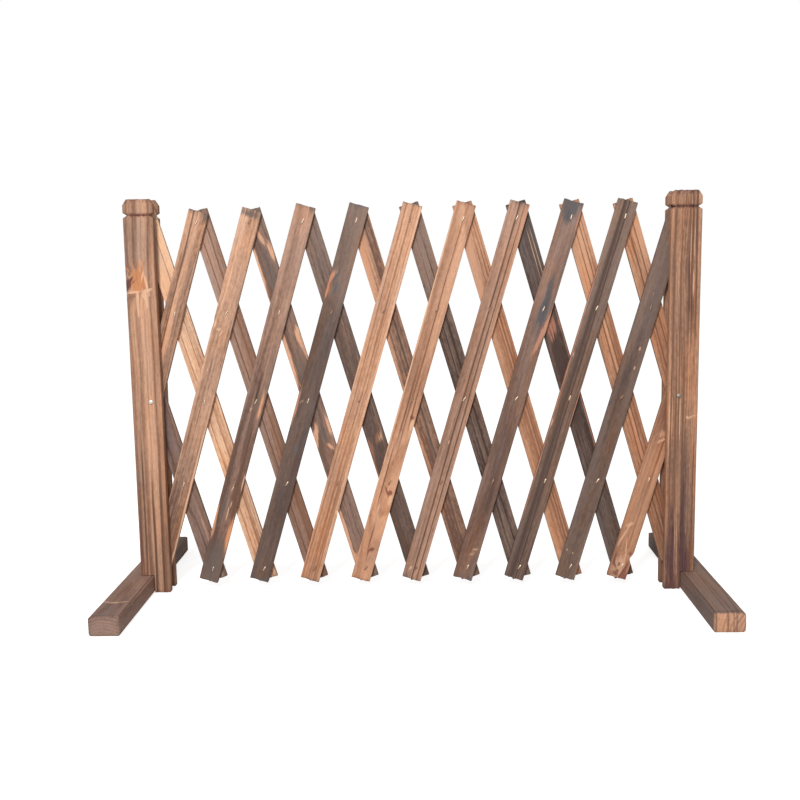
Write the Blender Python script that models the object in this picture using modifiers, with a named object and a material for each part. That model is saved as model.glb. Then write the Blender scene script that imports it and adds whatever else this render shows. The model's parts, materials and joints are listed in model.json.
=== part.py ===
"""Expandable wooden fence: two stands joined by a lattice of crossed slats.

X runs along the fence, Y from its front to its back and Z up from the floor, in metres.
The lattice has columns of pivots, numbered from the left stand's pin, and five rows of
pivots, called levels, numbered from the top. Front slats lean right, back slats lean left.
"""
import math

import bmesh
import bpy
from mathutils import Matrix, Vector

# Lattice
BAYS = 10                            # column steps between the two stands' pins
LEVELS = 4                           # row steps from the top pivot of a slat to its bottom pivot
PIVOT_SPAN = 0.560                   # along a slat, from its top pivot to its bottom pivot
REST_LEAN = math.radians(16.38)      # of the slats, from upright, as the fence stands
CLOSED_LEAN = math.radians(7.5)      # pushed together
OPEN_LEAN = math.radians(40.0)       # drawn out
FLOOR_CLEARANCE = 0.0015             # under the slats when pushed together

# Slats
SLAT_WIDTH = 0.0302
SLAT_THICKNESS = 0.008
SLAT_ARRIS = 0.0008                  # planed-off edge
PIVOT_OFF_CENTRE = 0.0022            # the pivots lie this far off a slat's centreline
TOP_OVERHANG = 0.0200                # past the top pivot
BOTTOM_OVERHANG = 0.0173             # past the bottom pivot
PIN_OVERHANG = 0.0165                # past the stand's pin, on the half slats
LAYER_GAP = 0.0003                   # between two layers of wood

# Posts
POST_HEIGHT = 0.600
POST_WIDTH = 0.0455
POST_THICKNESS = 0.014
POST_EDGE_RADIUS = 0.0025
PIN_INSET = 0.0292                   # from a post's outer edge to its pin
CAP_HEIGHT = 0.0095                  # of the sloping sides at the top
CAP_SLOPE_SIDE = 0.0055              # taken off each edge of the board at the top
CAP_SLOPE_FACE = 0.0035              # taken off each face of the board at the top
GROOVE_DROP = 0.0245                 # from the top to the middle of the V groove
GROOVE_HEIGHT = 0.0075
GROOVE_DEPTH_SIDE = 0.0055
GROOVE_DEPTH_FACE = 0.0028

# Feet
FOOT_LENGTH = 0.416
FOOT_WIDTH = 0.0445
FOOT_HEIGHT = 0.028
FOOT_EDGE_RADIUS = 0.003
FOOT_NOSE_RADIUS = 0.008             # of the upper edge at each end
NOTCH_WIDTH = 0.021                  # cut from a post's outer edge, over the foot
SEAT_GAP = 0.0003                    # between a foot and the posts
FOOT_TO_SLAT = 0.0015                # least height of a trimmed slat over the foot

# Nails
NAIL_RADIUS = 0.0011
NAIL_HEAD_RADIUS = 0.0025
NAIL_HEAD_THICKNESS = 0.0008
NAIL_HEAD_TAPER = 0.0002
NAIL_BEND_RADIUS = 0.0018
NAIL_TIP_LENGTH = 0.0085             # lying on the front slat
NAIL_POINT_LENGTH = 0.0016
NAIL_POINT_RADIUS = 0.0004
NAIL_BEND_STEPS = 4
NAIL_HOLE_SIDES = 8

# Pivot bolts and nuts
BOLT_RADIUS = 0.0017
BOLT_HEAD_RADIUS = 0.0034
BOLT_HEAD_HEIGHT = 0.0018
BOLT_HEAD_RIM = 0.0004
BOLT_END = 0.0012                    # past the nut
BOLT_SIDES = 16
DOME_STEPS = 4
NUT_RADIUS = 0.0042                  # to its corners
NUT_THICKNESS = 0.0026
NUT_SIDES = 6
PIN_HOLE_SIDES = 12

FIT = 0.0003                         # clearance round a shank and under a head
OVERRUN = 0.004                      # of a cutter past what it cuts
MERGE = 0.00001

# Worked out from the sizes above
COLUMN_PITCH = PIVOT_SPAN * math.sin(REST_LEAN) * 2 / LEVELS
MID_LEVEL = LEVELS // 2
SLAT_REACH = SLAT_WIDTH / 2 + PIVOT_OFF_CENTRE
PIN_HEIGHT = (FLOOR_CLEARANCE + (PIVOT_SPAN / 2 + BOTTOM_OVERHANG) * math.cos(CLOSED_LEAN)
              + SLAT_REACH * math.sin(CLOSED_LEAN))
SLAT_FACE = LAYER_GAP / 2 + SLAT_THICKNESS
POST_INNER_FACE = SLAT_FACE + LAYER_GAP
POST_OUTER_FACE = POST_INNER_FACE + POST_THICKNESS
# A slat that ends over a foot is cut off where it clears the foot with the fence pushed together.
LOWEST_PIVOT = PIN_HEIGHT - PIVOT_SPAN / 2 * math.cos(CLOSED_LEAN)
FOOT_TRIM = (FOOT_HEIGHT + FOOT_TO_SLAT - LOWEST_PIVOT
             + (SLAT_WIDTH / 2 - PIVOT_OFF_CENTRE) * math.sin(CLOSED_LEAN)) / math.cos(CLOSED_LEAN)

WOODS = {
    "tan": (0.52, 0.34, 0.22), "pale": (0.66, 0.46, 0.30), "orange": (0.60, 0.33, 0.18),
    "brown": (0.38, 0.24, 0.16), "red_brown": (0.42, 0.23, 0.15), "grey_brown": (0.29, 0.22, 0.17),
    "dark": (0.17, 0.12, 0.09),
}
FRONT_WOODS = ("orange", "tan", "red_brown", "grey_brown", "pale", "pale", "red_brown", "dark",
               "grey_brown", "brown", "orange")
BACK_WOODS = ("grey_brown", "pale", "brown", "dark", "brown", "tan", "grey_brown", "orange",
              "dark", "orange", "pale")
STEEL = (0.55, 0.54, 0.52)


def clear_scene():
    for obj in list(bpy.data.objects):
        bpy.data.objects.remove(obj, do_unlink=True)


def new_collection(name):
    collection = bpy.data.collections.new(name)
    bpy.context.scene.collection.children.link(collection)
    return collection


def material(name, colour, roughness, metallic=0.0):
    finish = bpy.data.materials.new(name)
    finish.use_nodes = True
    shader = finish.node_tree.nodes["Principled BSDF"]
    shader.inputs["Base Color"].default_value = (*colour, 1.0)
    shader.inputs["Roughness"].default_value = roughness
    shader.inputs["Metallic"].default_value = metallic
    return finish


def wood(name, tone):
    return material(name + "_wood", WOODS[tone], 0.72)


def new_object(name, mesh, collection, finish=None):
    obj = bpy.data.objects.new(name, mesh)
    collection.objects.link(obj)
    if finish:
        mesh.materials.append(finish)
    return obj


def cutter_object(name, mesh):
    obj = new_object(name, mesh, CUTTERS)
    obj.hide_render = True
    obj.display_type = 'WIRE'
    return obj


def cut(obj, cutter):
    modifier = obj.modifiers.new(cutter.name, 'BOOLEAN')
    modifier.operation = 'DIFFERENCE'
    modifier.solver = 'EXACT'
    modifier.object = cutter


def round_edges(obj, radius, segments):
    modifier = obj.modifiers.new("rounded edges", 'BEVEL')
    modifier.width = radius
    modifier.segments = segments
    modifier.limit_method = 'ANGLE'
    modifier.angle_limit = math.radians(35)


def mesh_from(bm, name):
    mesh = bpy.data.meshes.new(name)
    bm.to_mesh(mesh)
    bm.free()
    return mesh


def box_bmesh(low, high):
    low, high = Vector(low), Vector(high)
    bm = bmesh.new()
    bmesh.ops.create_cube(bm, size=1)
    bmesh.ops.transform(bm, verts=bm.verts,
                        matrix=Matrix.Translation((low + high) / 2) @ Matrix.Diagonal((*(high - low), 1)))
    return bm


def hole_radius(shank, sides):
    """Corner radius of a hole whose flats clear a shank."""
    return (shank + FIT) / math.cos(math.pi / sides)


def holes_mesh(name, places, radius, sides, front, back):
    """Round cutters along Y, at (x, z) places."""
    bm = bmesh.new()
    for x, z in places:
        spot = Matrix.Translation((x, (front + back) / 2, z)) @ Matrix.Rotation(math.pi / 2, 4, 'X')
        bmesh.ops.create_cone(bm, cap_ends=True, segments=sides, radius1=radius, radius2=radius,
                              depth=back - front, matrix=spot)
    return mesh_from(bm, name)


def column_x(column):
    return (column - BAYS / 2) * COLUMN_PITCH


def level_height(level):
    return PIN_HEIGHT + (MID_LEVEL - level) * PIVOT_SPAN / LEVELS * math.cos(REST_LEAN)


def front_column(number, level):
    """Column of front slat 1, 2, ... at a level."""
    return number - level * 2 / LEVELS


def back_column(number, level):
    """Column of back slat 1, 2, ... at a level. Slat 1 is the half slat on the left stand's pin."""
    return number - 2 + level * 2 / LEVELS


def front_levels(number):
    first = MID_LEVEL if number == BAYS + 1 else 0
    last = MID_LEVEL if number == 1 else LEVELS
    return range(first, last + 1)


def back_levels(number):
    first = MID_LEVEL if number == 1 else 0
    last = MID_LEVEL if number == BAYS + 1 else LEVELS
    return range(first, last + 1)


def is_pin(column, level):
    return level == MID_LEVEL and column in (0, BAYS)


def is_nailed(column):
    return 0 < column < BAYS


def front_hinge_level(number):
    """The level where a front slat turns on what carries it: its stand, or a back slat."""
    return MID_LEVEL if number == 1 else (number - 2) % LEVELS + 1


def back_hinge_level(number):
    """The level where a back slat turns on what carries it: its stand, or a front slat."""
    return (3 - number) % LEVELS


def slat(name, number, lean_sign, column_at, levels, hinge_level, front, back, tone):
    """One slat, with its origin on its hinge and its local Z up along it."""
    step = PIVOT_SPAN / LEVELS
    up = {level: (hinge_level - level) * step for level in levels}
    top = up[levels[0]] + (TOP_OVERHANG if levels[0] == 0 else PIN_OVERHANG)
    if levels[-1] == MID_LEVEL:
        bottom = up[levels[-1]] - PIN_OVERHANG
    elif is_nailed(column_at(number, LEVELS)):
        bottom = up[levels[-1]] - BOTTOM_OVERHANG
    else:
        bottom = up[levels[-1]] + FOOT_TRIM
    middle = -lean_sign * PIVOT_OFF_CENTRE
    bm = box_bmesh((middle - SLAT_WIDTH / 2, front, bottom), (middle + SLAT_WIDTH / 2, back, top))
    obj = new_object(name, mesh_from(bm, name), PARTS, wood(name, tone))
    round_edges(obj, SLAT_ARRIS, 1)
    pinned = [up[level] for level in levels if is_pin(column_at(number, level), level)]
    nailed = [up[level] for level in levels if is_nailed(column_at(number, level))]
    for kind, heights, shank, sides in (("pin", pinned, BOLT_RADIUS, PIN_HOLE_SIDES),
                                        ("nail", nailed, NAIL_RADIUS, NAIL_HOLE_SIDES)):
        if heights:
            holes = holes_mesh(f"{name}_{kind}_holes", [(0, height) for height in heights],
                               hole_radius(shank, sides), sides, front - OVERRUN, back + OVERRUN)
            cutter = cutter_object(holes.name, holes)
            cutter.parent = obj
            cut(obj, cutter)
    obj.location = (column_x(column_at(number, hinge_level)), 0, level_height(hinge_level))
    obj.rotation_euler = (0, lean_sign * REST_LEAN, 0)
    return obj


def nail_mesh():
    """A nail through both slats, head behind, its tip bent down onto the front slat. Z is along the slat."""
    head_back = SLAT_FACE + FIT + NAIL_HEAD_THICKNESS
    tip_depth = -(SLAT_FACE + FIT + NAIL_RADIUS)
    bend_start = tip_depth + NAIL_BEND_RADIUS
    shaft = [(head_back, 0, NAIL_HEAD_RADIUS),
             (SLAT_FACE + FIT + NAIL_HEAD_TAPER, 0, NAIL_HEAD_RADIUS),
             (SLAT_FACE + FIT, 0, NAIL_RADIUS)]
    for index in range(NAIL_BEND_STEPS + 1):
        angle = math.pi / 2 * index / NAIL_BEND_STEPS
        shaft.append((bend_start - NAIL_BEND_RADIUS * math.sin(angle),
                      -NAIL_BEND_RADIUS * (1 - math.cos(angle)), NAIL_RADIUS))
    shaft.append((tip_depth, NAIL_POINT_LENGTH - NAIL_TIP_LENGTH, NAIL_RADIUS))
    shaft.append((tip_depth, -NAIL_TIP_LENGTH, NAIL_POINT_RADIUS))
    curve = bpy.data.curves.new("nail", 'CURVE')
    curve.dimensions = '3D'
    curve.bevel_depth = NAIL_RADIUS
    curve.bevel_resolution = 2
    curve.use_fill_caps = True
    spline = curve.splines.new('POLY')
    spline.points.add(len(shaft) - 1)
    for point, (depth, height, radius) in zip(spline.points, shaft):
        point.co = (0, depth, height, 1)
        point.radius = radius / NAIL_RADIUS
    obj = new_object("nail curve", curve, CUTTERS)
    evaluated = obj.evaluated_get(bpy.context.evaluated_depsgraph_get())
    mesh = bpy.data.meshes.new_from_object(evaluated)
    bpy.data.objects.remove(obj, do_unlink=True)
    bm = bmesh.new()
    bm.from_mesh(mesh)
    bmesh.ops.remove_doubles(bm, verts=bm.verts, dist=MERGE)
    bmesh.ops.recalc_face_normals(bm, faces=bm.faces)
    bm.to_mesh(mesh)
    bm.free()
    mesh.shade_smooth()
    mesh.set_sharp_from_angle(angle=math.radians(40))
    mesh.name = "nail"
    mesh.materials.clear()
    mesh.materials.append(material("nail_steel", STEEL, 0.38, 1.0))
    return mesh


def nail_row(name, level, mesh, slats):
    """Nails of one level, each carried by its front slat."""
    for column in range(1, BAYS):
        number = round(column + level * 2 / LEVELS)
        obj = new_object(f"{name}_{column}", mesh, PARTS)
        obj.parent = slats[number]
        obj.location = (0, 0, (front_hinge_level(number) - level) * PIVOT_SPAN / LEVELS)


def post_board(name, side, front, back, stand, tone):
    """A board of a stand, placed from the stand's pin. side is -1 on the left and 1 on the right."""
    outer = side * PIN_INSET
    inner = outer - side * POST_WIDTH
    bm = box_bmesh((min(outer, inner), front, 0), (max(outer, inner), back, POST_HEIGHT))
    upright = [edge for edge in bm.edges if abs(edge.verts[0].co.z - edge.verts[1].co.z) > MERGE]
    bmesh.ops.bevel(bm, geom=upright, offset=POST_EDGE_RADIUS, segments=2, profile=0.5, affect='EDGES',
                    material=-1)
    groove = POST_HEIGHT - GROOVE_DROP
    rings = {groove - GROOVE_HEIGHT / 2: (0, 0), groove: (GROOVE_DEPTH_SIDE, GROOVE_DEPTH_FACE),
             groove + GROOVE_HEIGHT / 2: (0, 0), POST_HEIGHT - CAP_HEIGHT: (0, 0),
             POST_HEIGHT: (CAP_SLOPE_SIDE, CAP_SLOPE_FACE)}
    for height in rings:
        if height < POST_HEIGHT:
            geometry = bm.verts[:] + bm.edges[:] + bm.faces[:]
            bmesh.ops.bisect_plane(bm, geom=geometry, plane_co=(0, 0, height), plane_no=(0, 0, 1))
    middle = Vector(((outer + inner) / 2, (front + back) / 2, 0))
    for vert in bm.verts:
        for height, (off_side, off_face) in rings.items():
            if abs(vert.co.z - height) < MERGE:
                vert.co.x -= (vert.co.x - middle.x) * off_side * 2 / POST_WIDTH
                vert.co.y -= (vert.co.y - middle.y) * off_face * 2 / POST_THICKNESS
    obj = new_object(name, mesh_from(bm, name), PARTS, wood(name, tone))
    notch_inner = outer - side * NOTCH_WIDTH
    notch_outer = outer + side * OVERRUN
    notch = box_bmesh((min(notch_outer, notch_inner), front - OVERRUN, -OVERRUN),
                      (max(notch_outer, notch_inner), back + OVERRUN, FOOT_HEIGHT + SEAT_GAP))
    pin = holes_mesh(name + "_pin_hole", [(0, PIN_HEIGHT)], hole_radius(BOLT_RADIUS, PIN_HOLE_SIDES),
                     PIN_HOLE_SIDES, front - OVERRUN, back + OVERRUN)
    for tool in (cutter_object(name + "_notch", mesh_from(notch, name + "_notch")),
                 cutter_object(pin.name, pin)):
        tool.parent = obj
        cut(obj, tool)
    obj.parent = stand
    obj.location = (0, 0, -PIN_HEIGHT)
    return obj


def foot(name, side, stand, tone):
    inner = side * (PIN_INSET - NOTCH_WIDTH + SEAT_GAP)
    outer = inner + side * FOOT_WIDTH
    bm = box_bmesh((min(inner, outer), -FOOT_LENGTH / 2, 0), (max(inner, outer), FOOT_LENGTH / 2, FOOT_HEIGHT))
    noses = [edge for edge in bm.edges if all(vert.co.z > FOOT_HEIGHT / 2 for vert in edge.verts)
             and abs(edge.verts[0].co.y - edge.verts[1].co.y) < MERGE]
    bmesh.ops.bevel(bm, geom=noses, offset=FOOT_NOSE_RADIUS, segments=3, profile=0.5, affect='EDGES',
                    material=-1)
    obj = new_object(name, mesh_from(bm, name), PARTS, wood(name, tone))
    round_edges(obj, FOOT_EDGE_RADIUS, 2)
    obj.parent = stand
    obj.location = (0, 0, -PIN_HEIGHT)
    return obj


def turned(name, profile, sides, finish):
    """A profile of (radius, height) turned about local Z."""
    mesh = bpy.data.meshes.new(name)
    points = [(radius, 0, height) for radius, height in profile]
    mesh.from_pydata(points, [(index, index + 1) for index in range(len(points) - 1)], [])
    obj = new_object(name, mesh, PARTS, finish)
    screw = obj.modifiers.new("turned", 'SCREW')
    screw.steps = sides
    screw.render_steps = sides
    screw.use_merge_vertices = True
    screw.merge_threshold = MERGE
    screw.use_smooth_shade = False
    return obj


def pivot_bolt(name, stand, finish):
    """A domed bolt from the front, with its local Z towards the front and 0 under its head."""
    dome = BOLT_HEAD_HEIGHT - BOLT_HEAD_RIM
    profile = [(0, BOLT_HEAD_HEIGHT)]
    for index in range(1, DOME_STEPS + 1):
        angle = math.pi / 2 * index / DOME_STEPS
        profile.append((BOLT_HEAD_RADIUS * math.sin(angle), BOLT_HEAD_RIM + dome * math.cos(angle)))
    length = 2 * (POST_OUTER_FACE + FIT) + NUT_THICKNESS + BOLT_END
    profile += [(BOLT_HEAD_RADIUS, 0), (BOLT_RADIUS, 0), (BOLT_RADIUS, -length), (0, -length)]
    obj = turned(name, profile, BOLT_SIDES, finish)
    obj.parent = stand
    obj.location = (0, -(POST_OUTER_FACE + FIT), 0)
    obj.rotation_euler = (math.pi / 2, 0, 0)
    return obj


def pivot_nut(name, stand, finish):
    bm = bmesh.new()
    middle = POST_OUTER_FACE + FIT + NUT_THICKNESS / 2
    spot = Matrix.Translation((0, middle, 0)) @ Matrix.Rotation(math.pi / 2, 4, 'X')
    bmesh.ops.create_cone(bm, cap_ends=True, segments=NUT_SIDES, radius1=NUT_RADIUS, radius2=NUT_RADIUS,
                          depth=NUT_THICKNESS, matrix=spot)
    obj = new_object(name, mesh_from(bm, name), PARTS, finish)
    bore = holes_mesh(name + "_bore", [(0, 0)], hole_radius(BOLT_RADIUS, BOLT_SIDES), BOLT_SIDES,
                      middle - NUT_THICKNESS / 2 - OVERRUN, middle + NUT_THICKNESS / 2 + OVERRUN)
    cutter = cutter_object(bore.name, bore)
    cutter.parent = obj
    cut(obj, cutter)
    obj.parent = stand
    return obj


def stand(name, side, post_tone, foot_tone, steel):
    """Two post boards, a foot, and the pin's bolt and nut, carried by an empty on the pin."""
    carrier = bpy.data.objects.new(name + "_stand", None)
    PARTS.objects.link(carrier)
    carrier.location = (side * BAYS / 2 * COLUMN_PITCH, 0, PIN_HEIGHT)
    post_board(name + "_front_post", side, -POST_OUTER_FACE, -POST_INNER_FACE, carrier, post_tone)
    post_board(name + "_rear_post", side, POST_INNER_FACE, POST_OUTER_FACE, carrier, post_tone)
    foot(name + "_foot", side, carrier, foot_tone)
    pivot_bolt(name + "_pivot_bolt", carrier, steel)
    pivot_nut(name + "_pivot_nut", carrier, steel)


clear_scene()
PARTS = new_collection("expandable_wooden_fence")
CUTTERS = new_collection("cutters")

front_slats = {}
for slat_number in range(1, BAYS + 2):
    front_slats[slat_number] = slat(
        f"front_slat_{slat_number:02d}", slat_number, 1, front_column, front_levels(slat_number),
        front_hinge_level(slat_number), -SLAT_FACE, -LAYER_GAP / 2,
        FRONT_WOODS[(slat_number - 1) % len(FRONT_WOODS)])
    slat(f"back_slat_{slat_number:02d}", slat_number, -1, back_column, back_levels(slat_number),
         back_hinge_level(slat_number), LAYER_GAP / 2, SLAT_FACE,
         BACK_WOODS[(slat_number - 1) % len(BACK_WOODS)])

one_nail = nail_mesh()
nail_row("top_nail", 0, one_nail, front_slats)
nail_row("middle_nail", MID_LEVEL, one_nail, front_slats)
nail_row("bottom_nail", LEVELS, one_nail, front_slats)

bolt_steel = material("bolt_steel", STEEL, 0.3, 1.0)
stand("left", -1, "tan", "grey_brown", bolt_steel)
stand("right", 1, "brown", "grey_brown", bolt_steel)

for angle_name, lean in (("pushed together", CLOSED_LEAN), ("as it stands", REST_LEAN), ("drawn out", OPEN_LEAN)):
    pin_to_pin = BAYS * PIVOT_SPAN * math.sin(lean) * 2 / LEVELS
    print(f"{angle_name}: lean {math.degrees(lean):.2f} degrees, {pin_to_pin:.4f} m between the pins")
print(f"pin height {PIN_HEIGHT:.5f}, column pitch {COLUMN_PITCH:.5f}, slats cut {FOOT_TRIM:.4f} m over the feet")
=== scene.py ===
# %% [markdown]
# # Dressing an expandable wooden fence
#
# Two end stands hold a lattice of crossed slats, nailed wherever they cross, so the fence opens
# and closes like a pantograph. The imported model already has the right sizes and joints. This
# lesson gives it its surface: rough pine that was scorched and then brushed, with raised grain,
# knots, burnt ends and worn corners. Each cell makes one thing, and the last ones light it.

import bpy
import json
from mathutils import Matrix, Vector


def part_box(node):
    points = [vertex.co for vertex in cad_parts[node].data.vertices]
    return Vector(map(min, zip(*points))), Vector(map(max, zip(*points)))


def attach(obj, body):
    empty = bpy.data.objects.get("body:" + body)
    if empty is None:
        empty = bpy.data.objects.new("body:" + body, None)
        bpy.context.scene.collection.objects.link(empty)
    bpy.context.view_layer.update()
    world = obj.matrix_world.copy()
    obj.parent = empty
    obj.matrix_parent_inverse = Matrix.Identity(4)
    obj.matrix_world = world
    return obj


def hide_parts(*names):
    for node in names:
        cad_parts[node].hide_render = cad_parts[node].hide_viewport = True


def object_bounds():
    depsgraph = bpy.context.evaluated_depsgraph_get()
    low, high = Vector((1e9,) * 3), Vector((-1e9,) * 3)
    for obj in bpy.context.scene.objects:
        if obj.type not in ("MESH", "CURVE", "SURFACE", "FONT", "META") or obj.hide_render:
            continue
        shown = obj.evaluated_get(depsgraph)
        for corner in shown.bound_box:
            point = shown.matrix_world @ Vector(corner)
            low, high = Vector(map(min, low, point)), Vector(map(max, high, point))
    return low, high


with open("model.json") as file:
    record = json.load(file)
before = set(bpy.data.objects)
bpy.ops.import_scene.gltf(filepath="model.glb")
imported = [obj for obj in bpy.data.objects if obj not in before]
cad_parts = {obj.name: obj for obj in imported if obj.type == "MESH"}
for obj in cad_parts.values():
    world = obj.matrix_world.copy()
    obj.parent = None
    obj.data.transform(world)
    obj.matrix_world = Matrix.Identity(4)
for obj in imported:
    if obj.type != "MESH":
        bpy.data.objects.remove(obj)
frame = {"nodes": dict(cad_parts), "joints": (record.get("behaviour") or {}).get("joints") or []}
cad_low, cad_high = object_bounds()
print("packed size in metres:", [round(side, 4) for side in cad_high - cad_low])

# %% Modules
import json
import math
from collections import namedtuple
from functools import partial

import bmesh
import bpy
import numpy as np
from mathutils import Matrix, Vector

# %% [markdown]
# ## Where the slats cross
#
# The slats could be measured in the photograph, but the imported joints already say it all. The
# first front slat turns on the left stand's pin, and the second back slat turns on that same
# slat, one crossing higher. The line between these two joints gives the lean of every slat and
# the step from crossing to crossing.

# %% Measure the lattice
hinges = {joint["name"]: Vector(joint["pos_m"]) for joint in frame["joints"]}
left_pin = hinges["lattice_opening"]
right_pin = hinges["right_stand_pivot"]
one_step = hinges["back_slat_02_pivot"] - left_pin
BAYS = sum(name.startswith("front_slat") for name in frame["nodes"]) - 1
LAST_LEVEL = 4
MID_LEVEL = LAST_LEVEL // 2
LEAN = math.atan2(one_step.x, one_step.z)
COLUMN = (right_pin.x - left_pin.x) / BAYS


def crossing(column, level):
    """Where slats cross: columns count from the left pin, levels from the top row."""
    return Vector((left_pin.x + column * COLUMN, 0, left_pin.z + (MID_LEVEL - level) * one_step.z))


print(f"{BAYS} bays of {COLUMN * 1000:.1f} mm, slats leaning {math.degrees(LEAN):.2f} degrees")

# %% [markdown]
# ## Stains
#
# Heat turns pine from honey to chestnut to soot, and weather greys it. A short palette of stains,
# written as the colours are seen on a screen, keeps the planks one family. Blender's shaders
# calculate in linear light, so each stain is converted once, here. The last two are no stains but
# filters: what the weather and what the flame do to any stain.


# %% Stains
def stain(red, green, blue):
    """A screen colour from 0 to 255 as the linear colour that a shader takes."""
    def linear(value):
        share = value / 255
        return share / 12.92 if share <= 0.04045 else ((share + 0.055) / 1.055) ** 2.4
    return linear(red), linear(green), linear(blue), 1.0


CREAM = stain(240, 194, 158)
HONEY = stain(226, 178, 147)
PEACH = stain(216, 166, 134)
TAN = stain(205, 154, 122)
SALMON = stain(190, 149, 127)
CLAY = stain(174, 142, 126)
AMBER = stain(172, 122, 92)
COPPER = stain(150, 102, 75)
DRIFT = stain(158, 128, 114)
SMOKE = stain(141, 116, 103)
CHESTNUT = stain(130, 94, 74)
UMBER = stain(109, 81, 68)
SLATE = stain(116, 98, 89)
SOOT = stain(92, 72, 63)
COAL = stain(66, 48, 40)
EMBER = stain(222, 158, 116)
RUST = stain(208, 138, 92)
ROSE = stain(190, 136, 112)
BRICK = stain(146, 94, 78)
WINE = stain(108, 74, 70)
STEEL_GREY = stain(98, 92, 92)
GREYING = (0.68, 0.75, 0.86, 1)
WARMING = (1.14, 0.93, 0.74, 1)

# %% [markdown]
# ## Shader building blocks
#
# Every wooden piece has the same kind of finish in other stains, so the finish is a node group
# with named inputs. A few helpers keep the node code readable: one adds a node and connects or
# sets its inputs by name, and the others calculate, mix colours, make noise and start a material.

# %% Node helpers
NOISE_ROUGHNESS = 0.6
# A mix node has sockets of the same names for numbers and for colours, so these go by place.
MIX_SHARE, MIX_FIRST, MIX_SECOND = 0, 6, 7
MIX_RESULT = 2


def add(tree, kind, inputs=None, **settings):
    """A node with its settings, whose inputs take values or other nodes' outputs."""
    node = tree.nodes.new(kind)
    for name, value in settings.items():
        setattr(node, name, value)
    for name, value in (inputs or {}).items():
        if isinstance(value, bpy.types.NodeSocket):
            tree.links.new(value, node.inputs[name])
        else:
            node.inputs[name].default_value = value
    return node


def calculate(tree, operation, first, second, clamp=False):
    node = add(tree, "ShaderNodeMath", {0: first, 1: second}, operation=operation, use_clamp=clamp)
    return node.outputs[0]


def add_share(tree, base, value, share, clamp=False):
    """The base plus a share of another value."""
    return calculate(tree, 'ADD', base, calculate(tree, 'MULTIPLY', value, share), clamp)


def centred(tree, noise):
    """Noise from 0 to 1 as a swing to both sides of 0."""
    return calculate(tree, 'SUBTRACT', noise, 0.5)


def mix_colours(tree, share, first, second, blend='MIX'):
    mix = add(tree, "ShaderNodeMix", {MIX_SHARE: share, MIX_FIRST: first, MIX_SECOND: second},
              data_type='RGBA', blend_type=blend)
    return mix.outputs[MIX_RESULT]


def soft_step(tree, value, start, end):
    """0 below start, 1 above end and a smooth rise between them."""
    ramp = add(tree, "ShaderNodeMapRange", {"Value": value, "From Min": start, "From Max": end},
               interpolation_type='SMOOTHSTEP')
    return ramp.outputs[0]


def stretched_noise(tree, coordinates, stretch, scale, detail):
    """Noise drawn out along the plank, where stretch is below 1."""
    drawn = add(tree, "ShaderNodeVectorMath", {0: coordinates, 1: (1, 1, stretch)},
                operation='MULTIPLY')
    noise = add(tree, "ShaderNodeTexNoise", {"Vector": drawn.outputs[0], "Scale": scale,
                                             "Detail": detail, "Roughness": NOISE_ROUGHNESS})
    return noise.outputs[0]


def new_material(name):
    material = bpy.data.materials.new(name)
    material.use_nodes = True
    return material, material.node_tree


def connect_surface(tree, colour, roughness, bump):
    """Connects what varies over the surface to the material's shader."""
    shader = tree.nodes["Principled BSDF"]
    tree.links.new(colour, shader.inputs["Base Color"])
    tree.links.new(roughness, shader.inputs["Roughness"])
    tree.links.new(bump.outputs["Normal"], shader.inputs["Normal"])
    return shader


# %% [markdown]
# ## Scorched and brushed pine
#
# The grain could be a wave texture, but then its lines would be painted on a smooth board. Here
# the mesh carries the grain: each vertex stores how much late wood, band and knot it has, and how
# scorched, bare or worn it is. Its scorch also holds the painted shade along the posts' V groove.
# The same numbers carve the relief, so colour and shape agree. This group turns them into colour,
# roughness and height, and adds what is finer than the mesh: fibres, pores, and the ragged edge
# of a burn.


# %% Pine finish group
# Each noise is given by its stretch along the plank, its scale and its detail, and each edge by
# the two values between which a mask rises.
FIBRES = 0.025, 950, 4
STREAKS = 0.014, 330, 3
CLOUDS = 0.22, 55, 4
MOTTLES = 0.35, 300, 3
PORES = 0.08, 1500, 2
PORE_EDGE = 0.58, 0.70
LINE_EDGE = 0.55, 1.1
BARE_EDGE = 0.25, 0.75
BURN_EDGE = 0.2, 1.0
RUB_EDGE = 0.35, 0.95
STREAKINESS = 0.95
CLOUDINESS = 0.6
MOTTLING = 1.1
FAINTEST_FIBRE = 0.5
LINE_DARKENING = 0.6
PORE_DARKENING = 0.4
BARE_UNEVENNESS = 0.7
BURN_RAGGEDNESS = 0.9
KNOT_DARKENING = 0.85
RUB_PALENESS = 0.6
RUB_COVER = 0.75
PLAIN_ROUGHNESS = 0.58
FIBRE_ROUGHNESS = 0.22
PORE_PIT = 0.6


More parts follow.
